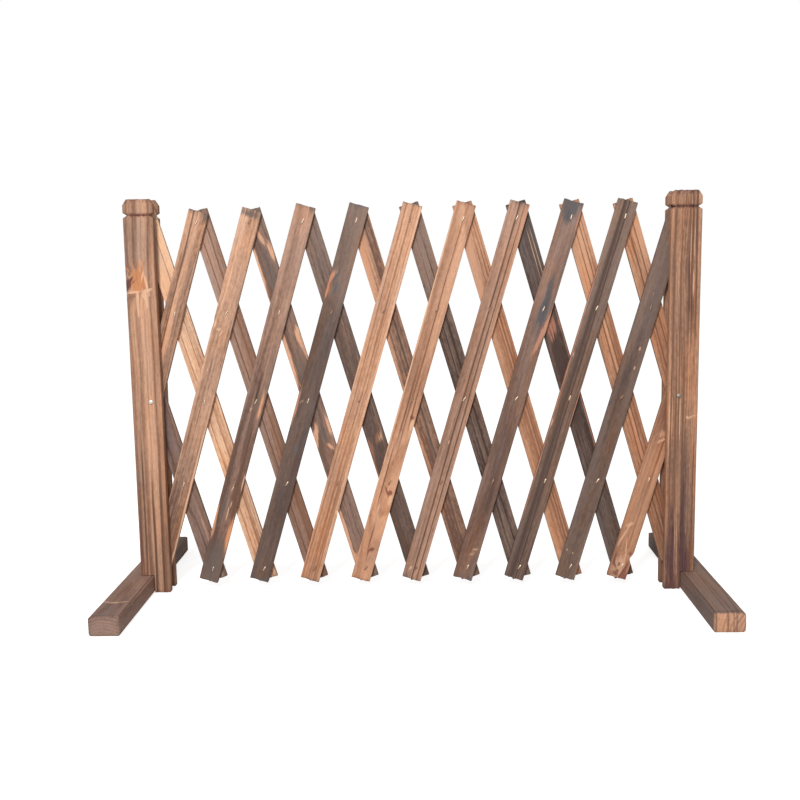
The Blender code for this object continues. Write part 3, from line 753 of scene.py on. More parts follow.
# %% Front slats
FRONT_LOOKS = (
    Look(PEACH, CHESTNUT, 0.3, toe=0.15, head=-0.25, lines=0.4, bands=0.6, seed=11,
         heart_side=-0.045, short=0.0055, marks=(
             Line(0.5, -0.38, 1.0, 0.0011, 0.9), Band(0.5, -0.08, 1.0, 0.0022, 0.0),
             Band(0.5, 0.55, 1.0, 0.0055, 0.5), Veil(0.45, 0.45, 0.12, 0.006, 0.5),
             BurnAndShade(0.985, 0.85, 0.012, 0.004, 0.9))),
    Look(HONEY, CHESTNUT, 0.33, toe=0.4, head=-0.1, lines=0.35, bands=0.45, seed=12, short=0.0045,
         streaks=0.8, scorch=SLATE, marks=(
             BurnAndShade(0.985, 0.0, 0.005, 0.014, 0.9), Chip(0.684, -1.0, 0.006, 0.003, 0.3),
             Pale(0.684, -0.75, 0.005, 0.0018, 1.2), Pale(0.672, -0.3, 0.0022, 0.0045, 1.2, -12),
             Pale(0.663, 0.05, 0.006, 0.0009, 1.2, 20), Pale(0.556, -0.33, 0.005, 0.0009, 1.0, -25),
             Veil(0.12, -0.45, 0.07, 0.008, 0.9), Warm(0.12, 0.8, 0.08, 0.003, 0.6),
             Pale(0.2, 0.88, 0.16, 0.0022, 0.9))),
    Look(SALMON, UMBER, 0.66, toe=0.32, head=-0.45, lines=0.15, bands=0.3, burn=0.5, seed=13,
         heart_side=0.02, heart_deep=0.045, streaks=0.7, marks=(
             Band(0.42, 0.15, 0.055, 0.003, 1.15), Band(0.28, -0.66, 0.09, 0.003, 1.1),
             Line(0.525, 0.05, 0.022, 0.0015, 1.3), BurnAndShade(0.493, 0.15, 0.018, 0.003, 1.2),
             Bare(0.485, 0.68, 0.022, 0.0022, 1.0), Pale(0.47, -0.2, 0.004, 0.0012, 1.2, 10),
             BurnAndShade(0.03, 0.0, 0.036, 0.016, 1.2), Bare(0.155, -0.9, 0.024, 0.0026, 1.2),
             Bare(0.13, 0.85, 0.03, 0.0036, 1.0), Warm(0.2, 0.8, 0.08, 0.004, 0.8),
             Veil(0.3, -0.5, 0.12, 0.006, 0.7), Line(0.33, 0.42, 0.06, 0.0016, 1.0),
             BurnAndShade(0.2, -0.35, 0.03, 0.005, 0.9), BurnAndShade(0.085, 0.3, 0.02, 0.008, 0.9),
             Pale(0.19, 0.17, 0.014, 0.001, 1.5), Pale(0.215, 0.3, 0.006, 0.0009, 1.4),
             Pale(0.26, 0.05, 0.009, 0.0009, 1.4, 10), Pale(0.28, 0.9, 0.012, 0.001, 1.3))),
    Look(SMOKE, SOOT, 0.86, head=-0.6, lines=0.2, bands=0.25, burn=0.4, wear=0.2, seed=14,
         heart_side=-0.02, heart_deep=0.04, streaks=0.6, warm=0.5, bare=ROSE, scorch=STEEL_GREY,
         marks=(
             Bare(0.475, -0.88, 0.03, 0.0026, 0.9), Pale(0.487, -0.45, 0.0075, 0.0022, 0.9, 36),
             Band(0.3, 0.5, 0.08, 0.003, 1.1), Swirl(0.8, -0.55, 0.018, 0.008, 4),
             Bare(0.812, -0.72, 0.012, 0.0035, 0.9, 12), Bare(0.775, -0.9, 0.012, 0.003, 0.9),
             BurnAndShade(0.81, -0.45, 0.01, 0.0018, 1.2, 25), BurnAndShade(0.785, -0.15, 0.014, 0.005, 0.9),
             Warm(0.79, -0.7, 0.018, 0.004, 0.6), BurnAndShade(0.36, 0.15, 0.012, 0.004, 1.1),
             Veil(0.2, -0.1, 0.045, 0.007, 0.9), Veil(0.62, 0.5, 0.06, 0.007, 0.8))),
    Look(HONEY, AMBER, 0.38, toe=0.1, head=-0.2, lines=1.0, bands=0.45, burn=0.0, seed=15,
         ring=0.0038, heart_side=-0.05, marks=(
             Line(0.16, 0.35, 0.12, 0.001, 1.0), Line(0.14, 0.05, 0.11, 0.0009, 0.9),
             Line(0.12, 0.6, 0.1, 0.0009, 0.8), Line(0.8, 0.15, 0.16, 0.0011, 0.8),
             Chip(0.195, 1.0, 0.004, 0.003, 0.5), Pale(0.195, 0.9, 0.004, 0.002, 2.0),
             Warm(0.1, 0.0, 0.1, 0.012, 0.2))),
    Look(PEACH, COPPER, 0.44, toe=-0.35, head=-0.1, lines=0.5, bands=0.4, burn=0.0, wear=0.6,
         seed=16, ring=0.0052, heart_side=0.012, heart_deep=0.05, streaks=0.7, scorch=BRICK, marks=(
             Line(0.72, 0.1, 0.24, 0.001, 0.9), Veil(0.75, -0.35, 0.2, 0.007, 0.3),
             Line(0.48, -0.2, 0.06, 0.001, 1.0), Line(0.475, 0.5, 0.035, 0.0009, 1.0),
             BurnAndShade(0.447, 0.62, 0.003, 0.0032, 1.6), Pale(0.428, 0.75, 0.008, 0.0028, 1.6),
             Line(0.29, -0.42, 0.05, 0.001, 1.2), BurnAndShade(0.247, 0.1, 0.0085, 0.0011, 1.5, -30),
             BurnAndShade(0.244, 0.5, 0.003, 0.0036, 1.6), Pale(0.222, 0.7, 0.008, 0.0022, 1.5),
             BurnAndShade(0.087, 0.3, 0.0022, 0.0042, 1.5, -35), BurnAndShade(0.077, 0.0, 0.006, 0.0012, 1.4),
             Line(0.12, -0.1, 0.022, 0.0009, 1.0), Veil(0.06, 0.1, 0.012, 0.005, 0.6),
             Pale(0.62, -0.93, 0.2, 0.0012, 1.5), Pale(0.2, -0.2, 0.01, 0.001, 1.2),
             Warm(0.15, 0.3, 0.12, 0.01, 0.35))),
    Look(SALMON, CHESTNUT, 0.48, toe=-0.2, head=-0.3, lines=0.4, bands=0.35, burn=0.2, seed=17,
         heart_side=-0.04, streaks=0.8, marks=(
             Line(0.5, -0.02, 0.6, 0.001, 1.3), Line(0.45, 0.5, 0.45, 0.001, 1.2),
             Pale(0.5, 0.92, 0.45, 0.001, 0.5), Warm(0.5, 0.85, 0.4, 0.002, 0.3),
             Pale(0.375, -0.2, 0.004, 0.001, 1.4), Pale(0.03, -0.4, 0.004, 0.0016, 1.4, 30))),
    Look(DRIFT, UMBER, 0.76, toe=-0.1, head=-0.45, lines=0.15, bands=0.3, burn=0.4, wear=0.2,
         seed=18, heart_side=0.015, heart_deep=0.05, streaks=0.75, bare=ROSE, scorch=STEEL_GREY,
         marks=(
             Band(0.3, 0.35, 0.07, 0.0025, 1.2), Warm(0.17, 0.2, 0.05, 0.008, 0.4),
             BurnAndShade(0.972, -0.1, 0.016, 0.007, 1.9), BurnAndShade(0.775, 0.1, 0.026, 0.004, 1.3),
             BurnAndShade(0.722, 0.2, 0.017, 0.0055, 1.8), Bare(0.665, 0.7, 0.036, 0.0032, 1.4, 8),
             Bare(0.95, 0.9, 0.02, 0.002, 0.8), Warm(0.9, -0.8, 0.09, 0.003, 0.7),
             Veil(0.221, 0.35, 0.026, 0.006, 1.2), Pale(0.086, 0.45, 0.0024, 0.006, 0.9, -25),
             Pale(0.071, 0.2, 0.0022, 0.007, 0.8, -30), Warm(0.075, 0.3, 0.016, 0.008, 0.5))),
    Look(SMOKE, SOOT, 0.7, toe=0.0, head=-0.4, lines=0.3, bands=0.4, burn=0.35, seed=19,
         heart_side=0.035, streaks=0.8, veil=0.2, warm=0.5, bare=ROSE, marks=(
             Band(0.5, -0.22, 1.0, 0.0026, 1.1), Line(0.5, 0.12, 0.6, 0.001, 1.0),
             Line(0.5, -0.3, 0.6, 0.0014, 1.0), Warm(0.35, 0.5, 0.2, 0.004, 0.5),
             Bare(0.72, -0.95, 0.16, 0.0012, 0.7), Bare(0.3, -0.95, 0.16, 0.0012, 0.7),
             Bare(0.48, 0.95, 0.1, 0.0013, 0.7), Warm(0.45, -0.7, 0.12, 0.003, 0.5),
             Pale(0.6, -0.8, 0.006, 0.001, 1.3), Pale(0.42, -0.85, 0.006, 0.001, 1.2))),
    Look(SMOKE, SOOT, 0.58, toe=-0.1, head=0.0, lines=0.1, bands=0.35, burn=0.45, wear=0.15,
         seed=20, ring=0.006, heart_side=-0.02, heart_deep=0.05, streaks=0.8, warm=0.6, marks=(
             Veil(0.53, -0.2, 0.045, 0.008, 0.9), BurnAndShade(0.5, 0.6, 0.03, 0.005, 0.8),
             BurnAndShade(0.33, -0.7, 0.1, 0.0035, 0.9), BurnAndShade(0.72, 0.4, 0.05, 0.004, 0.8),
             Warm(0.4, 0.35, 0.08, 0.007, 0.6), BurnAndShade(0.86, -0.5, 0.06, 0.004, 0.8),
             Pale(0.075, -0.65, 0.0025, 0.0013, 1.4), Pale(0.07, 0.0, 0.002, 0.0013, 1.2),
             Pale(0.62, 0.35, 0.003, 0.0016, 1.6), Pale(0.57, 0.4, 0.003, 0.0014, 1.5),
             Pale(0.76, 0.0, 0.004, 0.001, 0.9))),
    Look(TAN, COPPER, 0.28, toe=0.15, head=0.65, lines=0.4, bands=0.3, burn=0.1, seed=21,
         heart_side=-0.04, streaks=0.6, bare=PEACH, scorch=BRICK, marks=(
             Swirl(0.075, -0.1, 0.012, 0.009, 4), Knot(0.072, -0.15, 0.0045, 0.0032, 0.8),
             Knot(0.035, -0.1, 0.0035, 0.0026, 1.0), Bare(0.05, -0.1, 0.024, 0.011, 0.9),
             BurnAndShade(0.052, 0.55, 0.012, 0.0024, 1.3, 12), BurnAndShade(0.022, -0.25, 0.0035, 0.005, 1.1, 30),
             BurnAndShade(0.06, -0.5, 0.006, 0.002, 1.0, -30), Veil(0.86, -0.2, 0.05, 0.012, 0.9),
             BurnAndShade(0.02, 0.7, 0.006, 0.004, 0.8), Line(0.85, 0.35, 0.12, 0.0012, 0.9),
             BurnAndShade(0.1, -0.75, 0.01, 0.002, 0.9), Pale(0.715, 0.15, 0.0024, 0.011, 1.2, -44),
             Bare(0.745, 0.0, 0.008, 0.006, 0.8, 20), Pale(0.275, -0.35, 0.0024, 0.007, 1.2, -36),
             Pale(0.215, -0.6, 0.022, 0.0016, 1.4, 14), Pale(0.165, 0.0, 0.016, 0.0011, 1.2, -12),
             BurnAndShade(0.137, 0.6, 0.0035, 0.004, 0.9), Chip(0.112, 1.0, 0.0045, 0.003, 1.2))),
)
front_slats = [slat(f"front_slat_{number:02d}", LEAN, look)
               for number, look in enumerate(FRONT_LOOKS, 1)]
print(len(front_slats), "front slats")

# %% [markdown]
# ## The eleven back slats
#
# They lean the other way, and are seen between the front ones. The first one is the half slat
# on the left pin, and the last one ends on the right pin.

# %% Back slats
BACK_LOOKS = (
    Look(DRIFT, UMBER, 0.08, lines=0.5, bands=0.6, burn=0.2, seed=31, heart_side=-0.02, veil=0.2,
         marks=(
             Veil(0.8, 0.0, 0.08, 0.012, 0.8), Pale(0.2, 0.4, 0.08, 0.002, 0.7))),
    Look(CREAM, AMBER, 0.42, toe=0.1, head=-0.85, lines=0.7, bands=0.35, burn=0.0, seed=32,
         ring=0.0034, heart_side=0.045, marks=(
             Line(0.5, 0.25, 0.6, 0.0009, 0.9), Line(0.5, -0.5, 0.6, 0.0008, 0.8))),
    Look(CLAY, CHESTNUT, 0.6, toe=0.2, head=-0.45, lines=0.6, bands=0.5, burn=0.25, seed=33,
         heart_side=-0.045, short=0.0045, marks=(
             Line(0.5, -0.35, 0.6, 0.001, 1.0), Line(0.5, 0.4, 0.6, 0.001, 0.9),
             Warm(0.35, 0.2, 0.14, 0.006, 0.4))),
    Look(CLAY, UMBER, 0.86, toe=-0.2, head=-0.1, lines=0.25, bands=0.4, burn=0.4, seed=34,
         heart_side=0.03, short=0.0045, streaks=0.7, bare=PEACH, marks=(
             Bare(0.925, 0.2, 0.014, 0.0028, 1.1, -8), Bare(0.885, 0.75, 0.014, 0.0034, 1.2),
             Bare(0.85, -0.92, 0.045, 0.0026, 1.5), Bare(0.66, 0.7, 0.014, 0.0044, 1.2),
             Bare(0.625, 0.95, 0.022, 0.003, 1.3), Bare(0.62, -0.85, 0.045, 0.004, 1.5),
             Bare(0.4, -0.75, 0.022, 0.0034, 1.3, 20), Bare(0.368, 0.3, 0.009, 0.003, 0.9, -35),
             Bare(0.42, 0.85, 0.02, 0.0026, 1.2), BurnAndShade(0.4, 0.1, 0.018, 0.0045, 1.2),
             BurnAndShade(0.78, 0.1, 0.05, 0.009, 0.9), BurnAndShade(0.54, 0.1, 0.05, 0.006, 1.1),
             Bare(0.16, -0.9, 0.06, 0.0034, 1.8), Bare(0.05, -0.6, 0.014, 0.005, 1.3))),
    Look(SMOKE, SOOT, 1.0, head=-0.75, lines=0.35, bands=0.45, burn=0.3, seed=35, short=0.0065,
         bare=COPPER, scorch=SOOT, marks=(
             Swirl(0.37, 0.1, 0.02, 0.009, 3), Bare(0.39, 0.2, 0.01, 0.0045, 0.8, 25),
             Bare(0.365, -0.75, 0.016, 0.0026, 1.1), BurnAndShade(0.36, 0.15, 0.008, 0.0045, 1.4, 20),
             Pale(0.388, 0.4, 0.008, 0.003, 0.7, 20), Pale(0.5, 0.7, 0.2, 0.002, 0.5),
             Bare(0.3, -0.9, 0.03, 0.002, 0.8))),
    Look(TAN, UMBER, 0.6, toe=0.2, head=-1.0, lines=0.4, bands=0.4, burn=0.2, seed=36,
         heart_side=0.04, short=0.0065, marks=(
             Band(0.5, 0.55, 1.0, 0.006, 0.75), Warm(0.88, -0.3, 0.08, 0.006, 0.15),
             Veil(0.85, -0.4, 0.12, 0.006, 0.3), BurnAndShade(0.4, 0.3, 0.14, 0.005, 0.8),
             Veil(0.7, 0.4, 0.1, 0.007, 0.6), Warm(0.2, -0.5, 0.12, 0.006, 0.5),
             Line(0.55, 0.25, 0.3, 0.001, 0.8))),
    Look(SMOKE, COAL, 0.72, toe=-0.3, head=-0.9, lines=0.25, bands=0.2, burn=0.3, seed=37,
         heart_side=-0.045, marks=(
             Line(0.55, -0.3, 0.5, 0.0009, 0.6), Line(0.65, 0.3, 0.4, 0.0011, 0.8))),
    Look(TAN, COPPER, 0.48, toe=-0.1, head=-0.7, lines=0.5, bands=0.4, burn=0.1, seed=38,
         heart_side=0.045, warm=0.6, marks=(
             Line(0.5, 0.1, 0.6, 0.0009, 0.8), Line(0.5, 0.42, 0.6, 0.001, 1.0),
             Line(0.5, 0.7, 0.6, 0.0009, 0.8), Pale(0.6, 0.26, 0.3, 0.0007, 0.8))),
    Look(SLATE, COAL, 0.66, toe=-0.3, head=-0.4, lines=0.4, bands=0.3, burn=0.2, wear=0.2, seed=39,
         bare=stain(178, 120, 96), scorch=stain(74, 56, 50), marks=(
             Bare(0.5, 0.85, 0.2, 0.0014, 0.8), Bare(0.665, -0.1, 0.02, 0.006, 1.0, 15),
             Bare(0.69, -0.5, 0.022, 0.003, 0.9, -10), Veil(0.88, 0.0, 0.08, 0.014, 0.8),
             BurnAndShade(0.585, -0.1, 0.032, 0.009, 1.5), BurnAndShade(0.48, -0.1, 0.08, 0.007, 0.9),
             Pale(0.87, 0.3, 0.06, 0.0008, 1.0), Pale(0.86, 0.62, 0.06, 0.0008, 1.1))),
    Look(TAN, COPPER, 0.54, toe=0.35, head=-0.65, lines=0.6, bands=0.4, burn=0.0, seed=40,
         ring=0.0036, heart_side=0.045, warm=0.6, marks=(
             Line(0.5, -0.15, 0.6, 0.0009, 1.1), Line(0.5, 0.3, 0.6, 0.0009, 1.1),
             Line(0.5, 0.62, 0.6, 0.0008, 0.9), Pale(0.6, 0.08, 0.3, 0.0007, 0.9),
             BurnAndShade(0.06, 0.3, 0.05, 0.006, 0.9))),
    Look(TAN, COPPER, 0.44, head=-0.75, lines=0.7, bands=0.4, burn=0.0, seed=41, ring=0.0034,
         heart_side=-0.045, warm=0.6, marks=(
             Line(0.5, -0.2, 0.6, 0.0009, 1.1), Line(0.5, 0.35, 0.6, 0.0009, 1.0),
             Pale(0.6, 0.1, 0.3, 0.0007, 0.8))),
)
back_slats = [slat(f"back_slat_{number:02d}", -LEAN, look)
              for number, look in enumerate(BACK_LOOKS, 1)]
print(len(back_slats), "back slats")

# %% [markdown]
# ## Post boards
#
# Each stand has a front and a rear board. A board is a block from the foot's top upwards. The
# part of its underside beside the foot is extruded down to the floor, as the tongue that stays
# when a notch is sawn out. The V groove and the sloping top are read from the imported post: at
# each of its heights the board is drawn in as far as the solid is.

# %% Post maker
SEAT_GAP = 0.0003
POST_EDGE = 0.0025
POST_ARRIS = 0.0006
LEVEL_DIGITS = 5


def notched_block(low, high, notch_x, notch_z, side):
    """A block whose outer part stops over the foot. side is -1 for the left stand."""
    base = Vector((low.x, low.y, notch_z))
    cells = cells_for(high - base, (CELL_ACROSS, CELL_DEEP, POST_CELL))
    bm = block(base, high, cells)
    everything = bm.verts[:] + bm.edges[:] + bm.faces[:]
    bmesh.ops.bisect_plane(bm, geom=everything, plane_co=(notch_x, 0, 0), plane_no=(1, 0, 0))
    bm.normal_update()
    tongue = [face for face in bm.faces
              if face.normal.z < -NEARLY and (face.calc_center_median().x - notch_x) * side < 0]
    lower = bmesh.ops.extrude_face_region(bm, geom=tongue)["geom"]
    bmesh.ops.delete(bm, geom=tongue, context='FACES')
    verts = [part for part in lower if isinstance(part, bmesh.types.BMVert)]
    bmesh.ops.translate(bm, verts=verts, vec=(0, 0, low.z - notch_z))
    drop = notch_z - low.z
    uprights = [edge for edge in bm.edges
                if runs_along(edge, 2) and edge.calc_length() > drop * NEARLY]
    cuts = round(drop / POST_CELL) - 1
    bmesh.ops.subdivide_edges(bm, edges=uprights, cuts=cuts, use_grid_fill=True)
    return bm


def outline_heights(node, low, high):
    """Heights of the rings near a packed post's top, and how far each is drawn in."""
    corners = np.array([vert.co for vert in frame["nodes"][node].data.vertices])
    heights = sorted({round(z, LEVEL_DIGITS) for z in corners[:, 2] if high.z - z < high.x - low.x})
    insets = []
    for height in heights:
        ring = corners[np.abs(corners[:, 2] - height) < 10 ** -LEVEL_DIGITS]
        insets.append([(high[axis] - low[axis] - np.ptp(ring[:, axis])) / 2 for axis in (0, 1)])
    return np.array(heights), np.array(insets)


def post(node, stand, side, look):
    low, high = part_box(node)
    foot_low, foot_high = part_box(stand + "_foot")
    notch_x = foot_high.x + SEAT_GAP if side < 0 else foot_low.x - SEAT_GAP
    bm = notched_block(low, high, notch_x, foot_high.z + SEAT_GAP, side)
    heights, insets = outline_heights(node, low, high)
    heights = np.insert(heights, 0, (low.z + high.z) / 2)
    insets = np.insert(insets, 0, 0, axis=0)
    for height in heights[1:-1]:
        everything = bm.verts[:] + bm.edges[:] + bm.faces[:]
        bmesh.ops.bisect_plane(bm, geom=everything, plane_co=(0, 0, height), plane_no=(0, 0, 1))
    open_edges = sum(not edge.is_manifold for edge in bm.edges)
    mesh = mesh_from(bm, node + "_board")
    points = ease_edges(read_points(mesh), low, high, POST_EDGE, axes=(0, 1))
    points = ease_edges(points, low, high, POST_ARRIS)
    for axis in (0, 1):
        middle, half = (low + high)[axis] / 2, (high - low)[axis] / 2
        drawn_in = np.interp(points[:, 2], heights, insets[:, axis])
        points[:, axis] = middle + (points[:, axis] - middle) * (1 - drawn_in / half)
    write_points(mesh, points)
    carve(mesh, look, low, high)
    smooth_shade(mesh, SHARP_WOOD)
    obj = show(node + "_board", mesh, pine(node, look))
    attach(obj, stand + "_stand")
    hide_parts(node)
    print(f"{obj.name}: {len(mesh.polygons)} faces, {open_edges} open edges")


# %% Posts
REAR_SEED = 5
# Painted shade: a dark band in the board's scorch stain along the V groove under the cap, on every
# post board.
GROOVE_SHADE = BurnAndShade(0.9592, 0.0, 0.0016, 0.03)
LEFT_POST = Look(
    PEACH, CHESTNUT, 0.36, toe=0.25, head=0.15, lines=0.4, bands=0.6, burn=0.15, seed=51,
    ring=0.0048, heart_side=0.07, slope=0.002, streaks=0.5, veil=0.3, warm=0.3,
    scorch=stain(120, 72, 62), bare=RUST, marks=(
        GROOVE_SHADE, Veil(0.885, -0.3, 0.055, 0.02, 0.8), Veil(0.76, -1.0, 0.05, 0.006, 0.9),
        Swirl(0.792, -0.6, 0.02, 0.011, 5), Bare(0.797, -0.25, 0.0135, 0.0085, 2.6),
        BurnAndShade(0.79, -0.86, 0.011, 0.005, 1.2, 10), Veil(0.795, -1.0, 0.014, 0.002, 0.6),
        BurnAndShade(0.803, -0.62, 0.006, 0.0016, 1.0, 30), BurnAndShade(0.798, -0.45, 0.007, 0.0012, 0.9, 45),
        Bare(0.83, -0.12, 0.014, 0.0014, 1.5, 4), Bare(0.828, 0.14, 0.012, 0.0014, 1.5, 12),
        Bare(0.826, -0.48, 0.012, 0.0013, 1.4, -8), Bare(0.829, -0.85, 0.006, 0.0013, 1.4, -35),
        Pale(0.792, 0.36, 0.013, 0.0014, 1.7, -12), Pale(0.812, 0.12, 0.01, 0.0012, 1.4, 12),
        Pale(0.772, -0.5, 0.0014, 0.0085, 2.0, -6), Pale(0.776, 0.45, 0.0015, 0.006, 1.8, -22),
        Pale(0.763, 0.15, 0.006, 0.008, 0.9), Pale(0.75, -0.26, 0.01, 0.0018, 2.0),
        Pale(0.722, -0.24, 0.008, 0.0012, 1.9), Pale(0.75, 0.3, 0.01, 0.0016, 1.9, -6),
        Warm(0.38, 0.93, 0.16, 0.003, 0.4), Veil(0.26, -0.65, 0.1, 0.007, 0.7),
        Veil(0.62, 0.2, 0.1, 0.006, 0.5), Line(0.1, 0.1, 0.14, 0.0018, 1.1),
        Line(0.1, 0.62, 0.14, 0.0018, 1.1), Line(0.2, -0.5, 0.14, 0.0014, 1.0),
        BurnAndShade(0.13, -0.85, 0.07, 0.003, 0.7)))
RIGHT_POST = Look(
    TAN, CHESTNUT, 0.5, toe=0.35, lines=0.6, bands=0.35, burn=0.2, seed=52, ring=0.0031,
    heart_side=-0.06, slope=0.003, streaks=0.9, veil=0.3, warm=0.35, scorch=WINE, marks=(
        GROOVE_SHADE, Line(0.85, 0.2, 0.13, 0.0012, 0.9), Line(0.85, 0.4, 0.14, 0.0013, 1.1),
        Line(0.85, 0.66, 0.16, 0.0013, 1.1), Line(0.7, -0.74, 0.25, 0.0012, 0.8),
        Band(0.22, -0.56, 0.11, 0.004, 0.95), Band(0.22, 0.21, 0.11, 0.0046, 0.92),
        Band(0.22, -0.2, 0.11, 0.0026, 0.5), Line(0.22, 0.75, 0.11, 0.0012, 0.9),
        Band(0.8, 0.3, 0.08, 0.008, 0.75), Line(0.6, -0.3, 0.2, 0.0009, 0.7),
        Pale(0.8, -0.45, 0.08, 0.0007, 0.9), Pale(0.87, 0.3, 0.05, 0.0008, 1.0),
        Pale(0.87, 0.53, 0.05, 0.0008, 0.9), Veil(0.8, -0.3, 0.1, 0.01, 0.3),
        BurnAndShade(0.8, 0.1, 0.022, 0.006, 0.5), BurnAndShade(0.72, 0.3, 0.02, 0.006, 0.5),
        Pale(0.77, 0.5, 0.03, 0.0012, 0.8), Warm(0.76, 0.55, 0.05, 0.003, 0.4),
        Warm(0.58, 0.4, 0.07, 0.01, 0.5), Pale(0.44, -0.17, 0.06, 0.0008, 1.2),
        Pale(0.42, -0.86, 0.06, 0.0008, 1.1), Pale(0.42, -0.68, 0.06, 0.0008, 1.1),
        Line(0.4, -0.77, 0.12, 0.001, 0.8), Line(0.38, -0.45, 0.14, 0.0012, 0.8),
        Line(0.34, 0.02, 0.16, 0.0014, 0.7), Veil(0.25, 0.3, 0.12, 0.008, 0.7),
        Warm(0.28, 0.85, 0.14, 0.0035, 0.5), Pale(0.445, 0.62, 0.0013, 0.006, 1.3, -24),
        Pale(0.443, 0.3, 0.0014, 0.003, 1.2, 40), BurnAndShade(0.1, -0.75, 0.09, 0.005, 0.9),
        BurnAndShade(0.06, 0.35, 0.04, 0.008, 0.9), BurnAndShade(0.08, -0.45, 0.07, 0.0035, 1.2),
        BurnAndShade(0.16, 0.15, 0.07, 0.003, 0.9), Pale(0.14, -0.35, 0.08, 0.0009, 0.9),
        Veil(0.1, 0.0, 0.08, 0.02, 0.3)))

for stand, side, look in (("left", -1, LEFT_POST), ("right", 1, RIGHT_POST)):
    post(f"{stand}_front_post", stand, side, look)
    rear_look = look._replace(seed=look.seed + REAR_SEED, marks=(GROOVE_SHADE,))
    post(f"{stand}_rear_post", stand, side, rear_look)

# %% [markdown]
# ## Feet
#
# A foot is a stout bar across the fence. Its grain runs front to back, its long edges are
# rounded, and the upper edge of each end is rounded further, like a nose.

# %% Feet
FOOT_EDGE = 0.0042
FOOT_NOSE = 0.008
FOOT_CELLS = (0.0010, 0.0032, 0.0010)
FOOT_LOOKS = {
    "left": Look(
        DRIFT, UMBER, 0.2, lines=0.8, bands=0.5, burn=0.3, ends=0.15, seed=61, ring=0.0045,
        heart_side=0.0, heart_deep=-0.05, streaks=0.8, warm=0.1, marks=(
            Pale(0.158, -0.65, 0.0026, 0.006, 1.2, 14), Pale(0.15, -0.15, 0.0026, 0.007, 1.4),
            Pale(0.158, 0.5, 0.0026, 0.009, 1.3, -16), Pale(0.395, -0.2, 0.004, 0.008, 0.6, 25),
            Warm(0.3, 0.1, 0.07, 0.018, 0.5), Veil(0.1, 0.0, 0.03, 0.02, 0.5),
            BurnAndShade(0.022, 0.0, 0.0022, 0.03, 0.9), BurnAndShade(0.85, 0.0, 0.08, 0.03, 0.9),
            Line(0.3, 0.86, 0.12, 0.0012, 0.9))),
    "right": Look(
        SMOKE, UMBER, 0.3, lines=0.8, bands=0.5, burn=0.3, ends=0.15, seed=62, ring=0.0055,
        heart_side=0.05, heart_deep=-0.018, streaks=0.8, warm=0.1, bare=TAN, marks=(
            Bare(0.0, 0.0, 0.004, 0.03, 1.6), BurnAndShade(0.024, 0.0, 0.0022, 0.03, 1.0),
            Line(0.0, -0.16, 0.008, 0.0016, 0.8), Line(0.0, 0.42, 0.008, 0.0012, 0.8),
            Warm(0.35, 0.0, 0.06, 0.02, 0.5), Line(0.25, -0.86, 0.16, 0.0012, 1.0),
            Veil(0.15, -1.0, 0.1, 0.003, 0.8), Line(0.2, 0.2, 0.12, 0.0011, 0.8),
            BurnAndShade(0.85, 0.0, 0.08, 0.03, 0.9)))}


def foot(stand, look):
    node = stand + "_foot"
    low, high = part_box(node)
    mesh = mesh_from(block(low, high, cells_for(high - low, FOOT_CELLS)), node + "_bar")
    under = Vector((low.x, low.y, low.z - FOOT_NOSE))
    points = ease_edges(read_points(mesh), under, high, FOOT_NOSE, axes=(1, 2))
    write_points(mesh, ease_edges(points, low, high, FOOT_EDGE))
    carve(mesh, look, low, high, order=(0, 2, 1))
    smooth_shade(mesh, SHARP_WOOD)
    obj = show(node + "_bar", mesh, pine(node, look))
    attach(obj, stand + "_stand")
    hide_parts(node)


for stand, look in FOOT_LOOKS.items():
    foot(stand, look)

# %% [markdown]
# ## Steel
#
# The nails are plain wire nails, bright where the hammer bent them and dull elsewhere. Fine
# noise varies the roughness, so that a small part still glitters unevenly.


# %% Steel finish
GRIME_SCALE = 420
GRIME_DETAIL = 3
GRIME_EDGE = 0.5, 0.75
GRIME_ROUGHNESS = 0.3
GRIME_BUMP = 0.3
GRIME_HEIGHT = 0.0001


def steel(name, bright, dull, roughness):
    material, tree = new_material(name)
    place = add(tree, "ShaderNodeTexCoord").outputs["Object"]
    grime = add(tree, "ShaderNodeTexNoise", {"Vector": place, "Scale": GRIME_SCALE,
                                             "Detail": GRIME_DETAIL}).outputs[0]
    mask = soft_step(tree, grime, *GRIME_EDGE)
    bump = add(tree, "ShaderNodeBump", {"Height": grime, "Strength": GRIME_BUMP,
                                        "Distance": GRIME_HEIGHT})
    rough = add_share(tree, roughness, mask, GRIME_ROUGHNESS)
    shader = connect_surface(tree, mix_colours(tree, mask, bright, dull), rough, bump)
    shader.inputs["Metallic"].default_value = 1.0
    return material


BRIGHT_STEEL = steel("bright nail steel", stain(222, 200, 176), stain(168, 144, 120), 0.42)
DULL_STEEL = steel("tarnished nail steel", stain(170, 138, 116), stain(120, 94, 78), 0.7)
BOLT_STEEL = steel("bolt steel", stain(240, 238, 234), stain(186, 182, 176), 0.22)
AGED_STEEL = steel("aged bolt steel", stain(160, 148, 138), stain(104, 88, 78), 0.55)

# %% [markdown]
# ## Clinched nails
#
# Every crossing is held by a nail driven from the back, long enough to come out in front, where
# its tip is hammered over. It is made as a smith would: a short rod, its back end spread to a
# head, its front end bent round in small steps, flattened and drawn to a point.

# %% Nail maker
NAIL_SIDES = 10
NAIL_RADIUS = 0.0009
NAIL_HEAD = 0.0026
NAIL_HEAD_HEIGHT = 0.0009
NAIL_RIM = 0.6
NAIL_CROWN = 0.8
NAIL_POINT = 0.35
BEND_RADIUS = 0.0017
BEND_STEPS = 6
TIP_LENGTH = 0.0062
TIP_SHARES = 0.5, 0.3, 0.2
TIP_FLATTENING = 0.8
SUNK = 0.0004


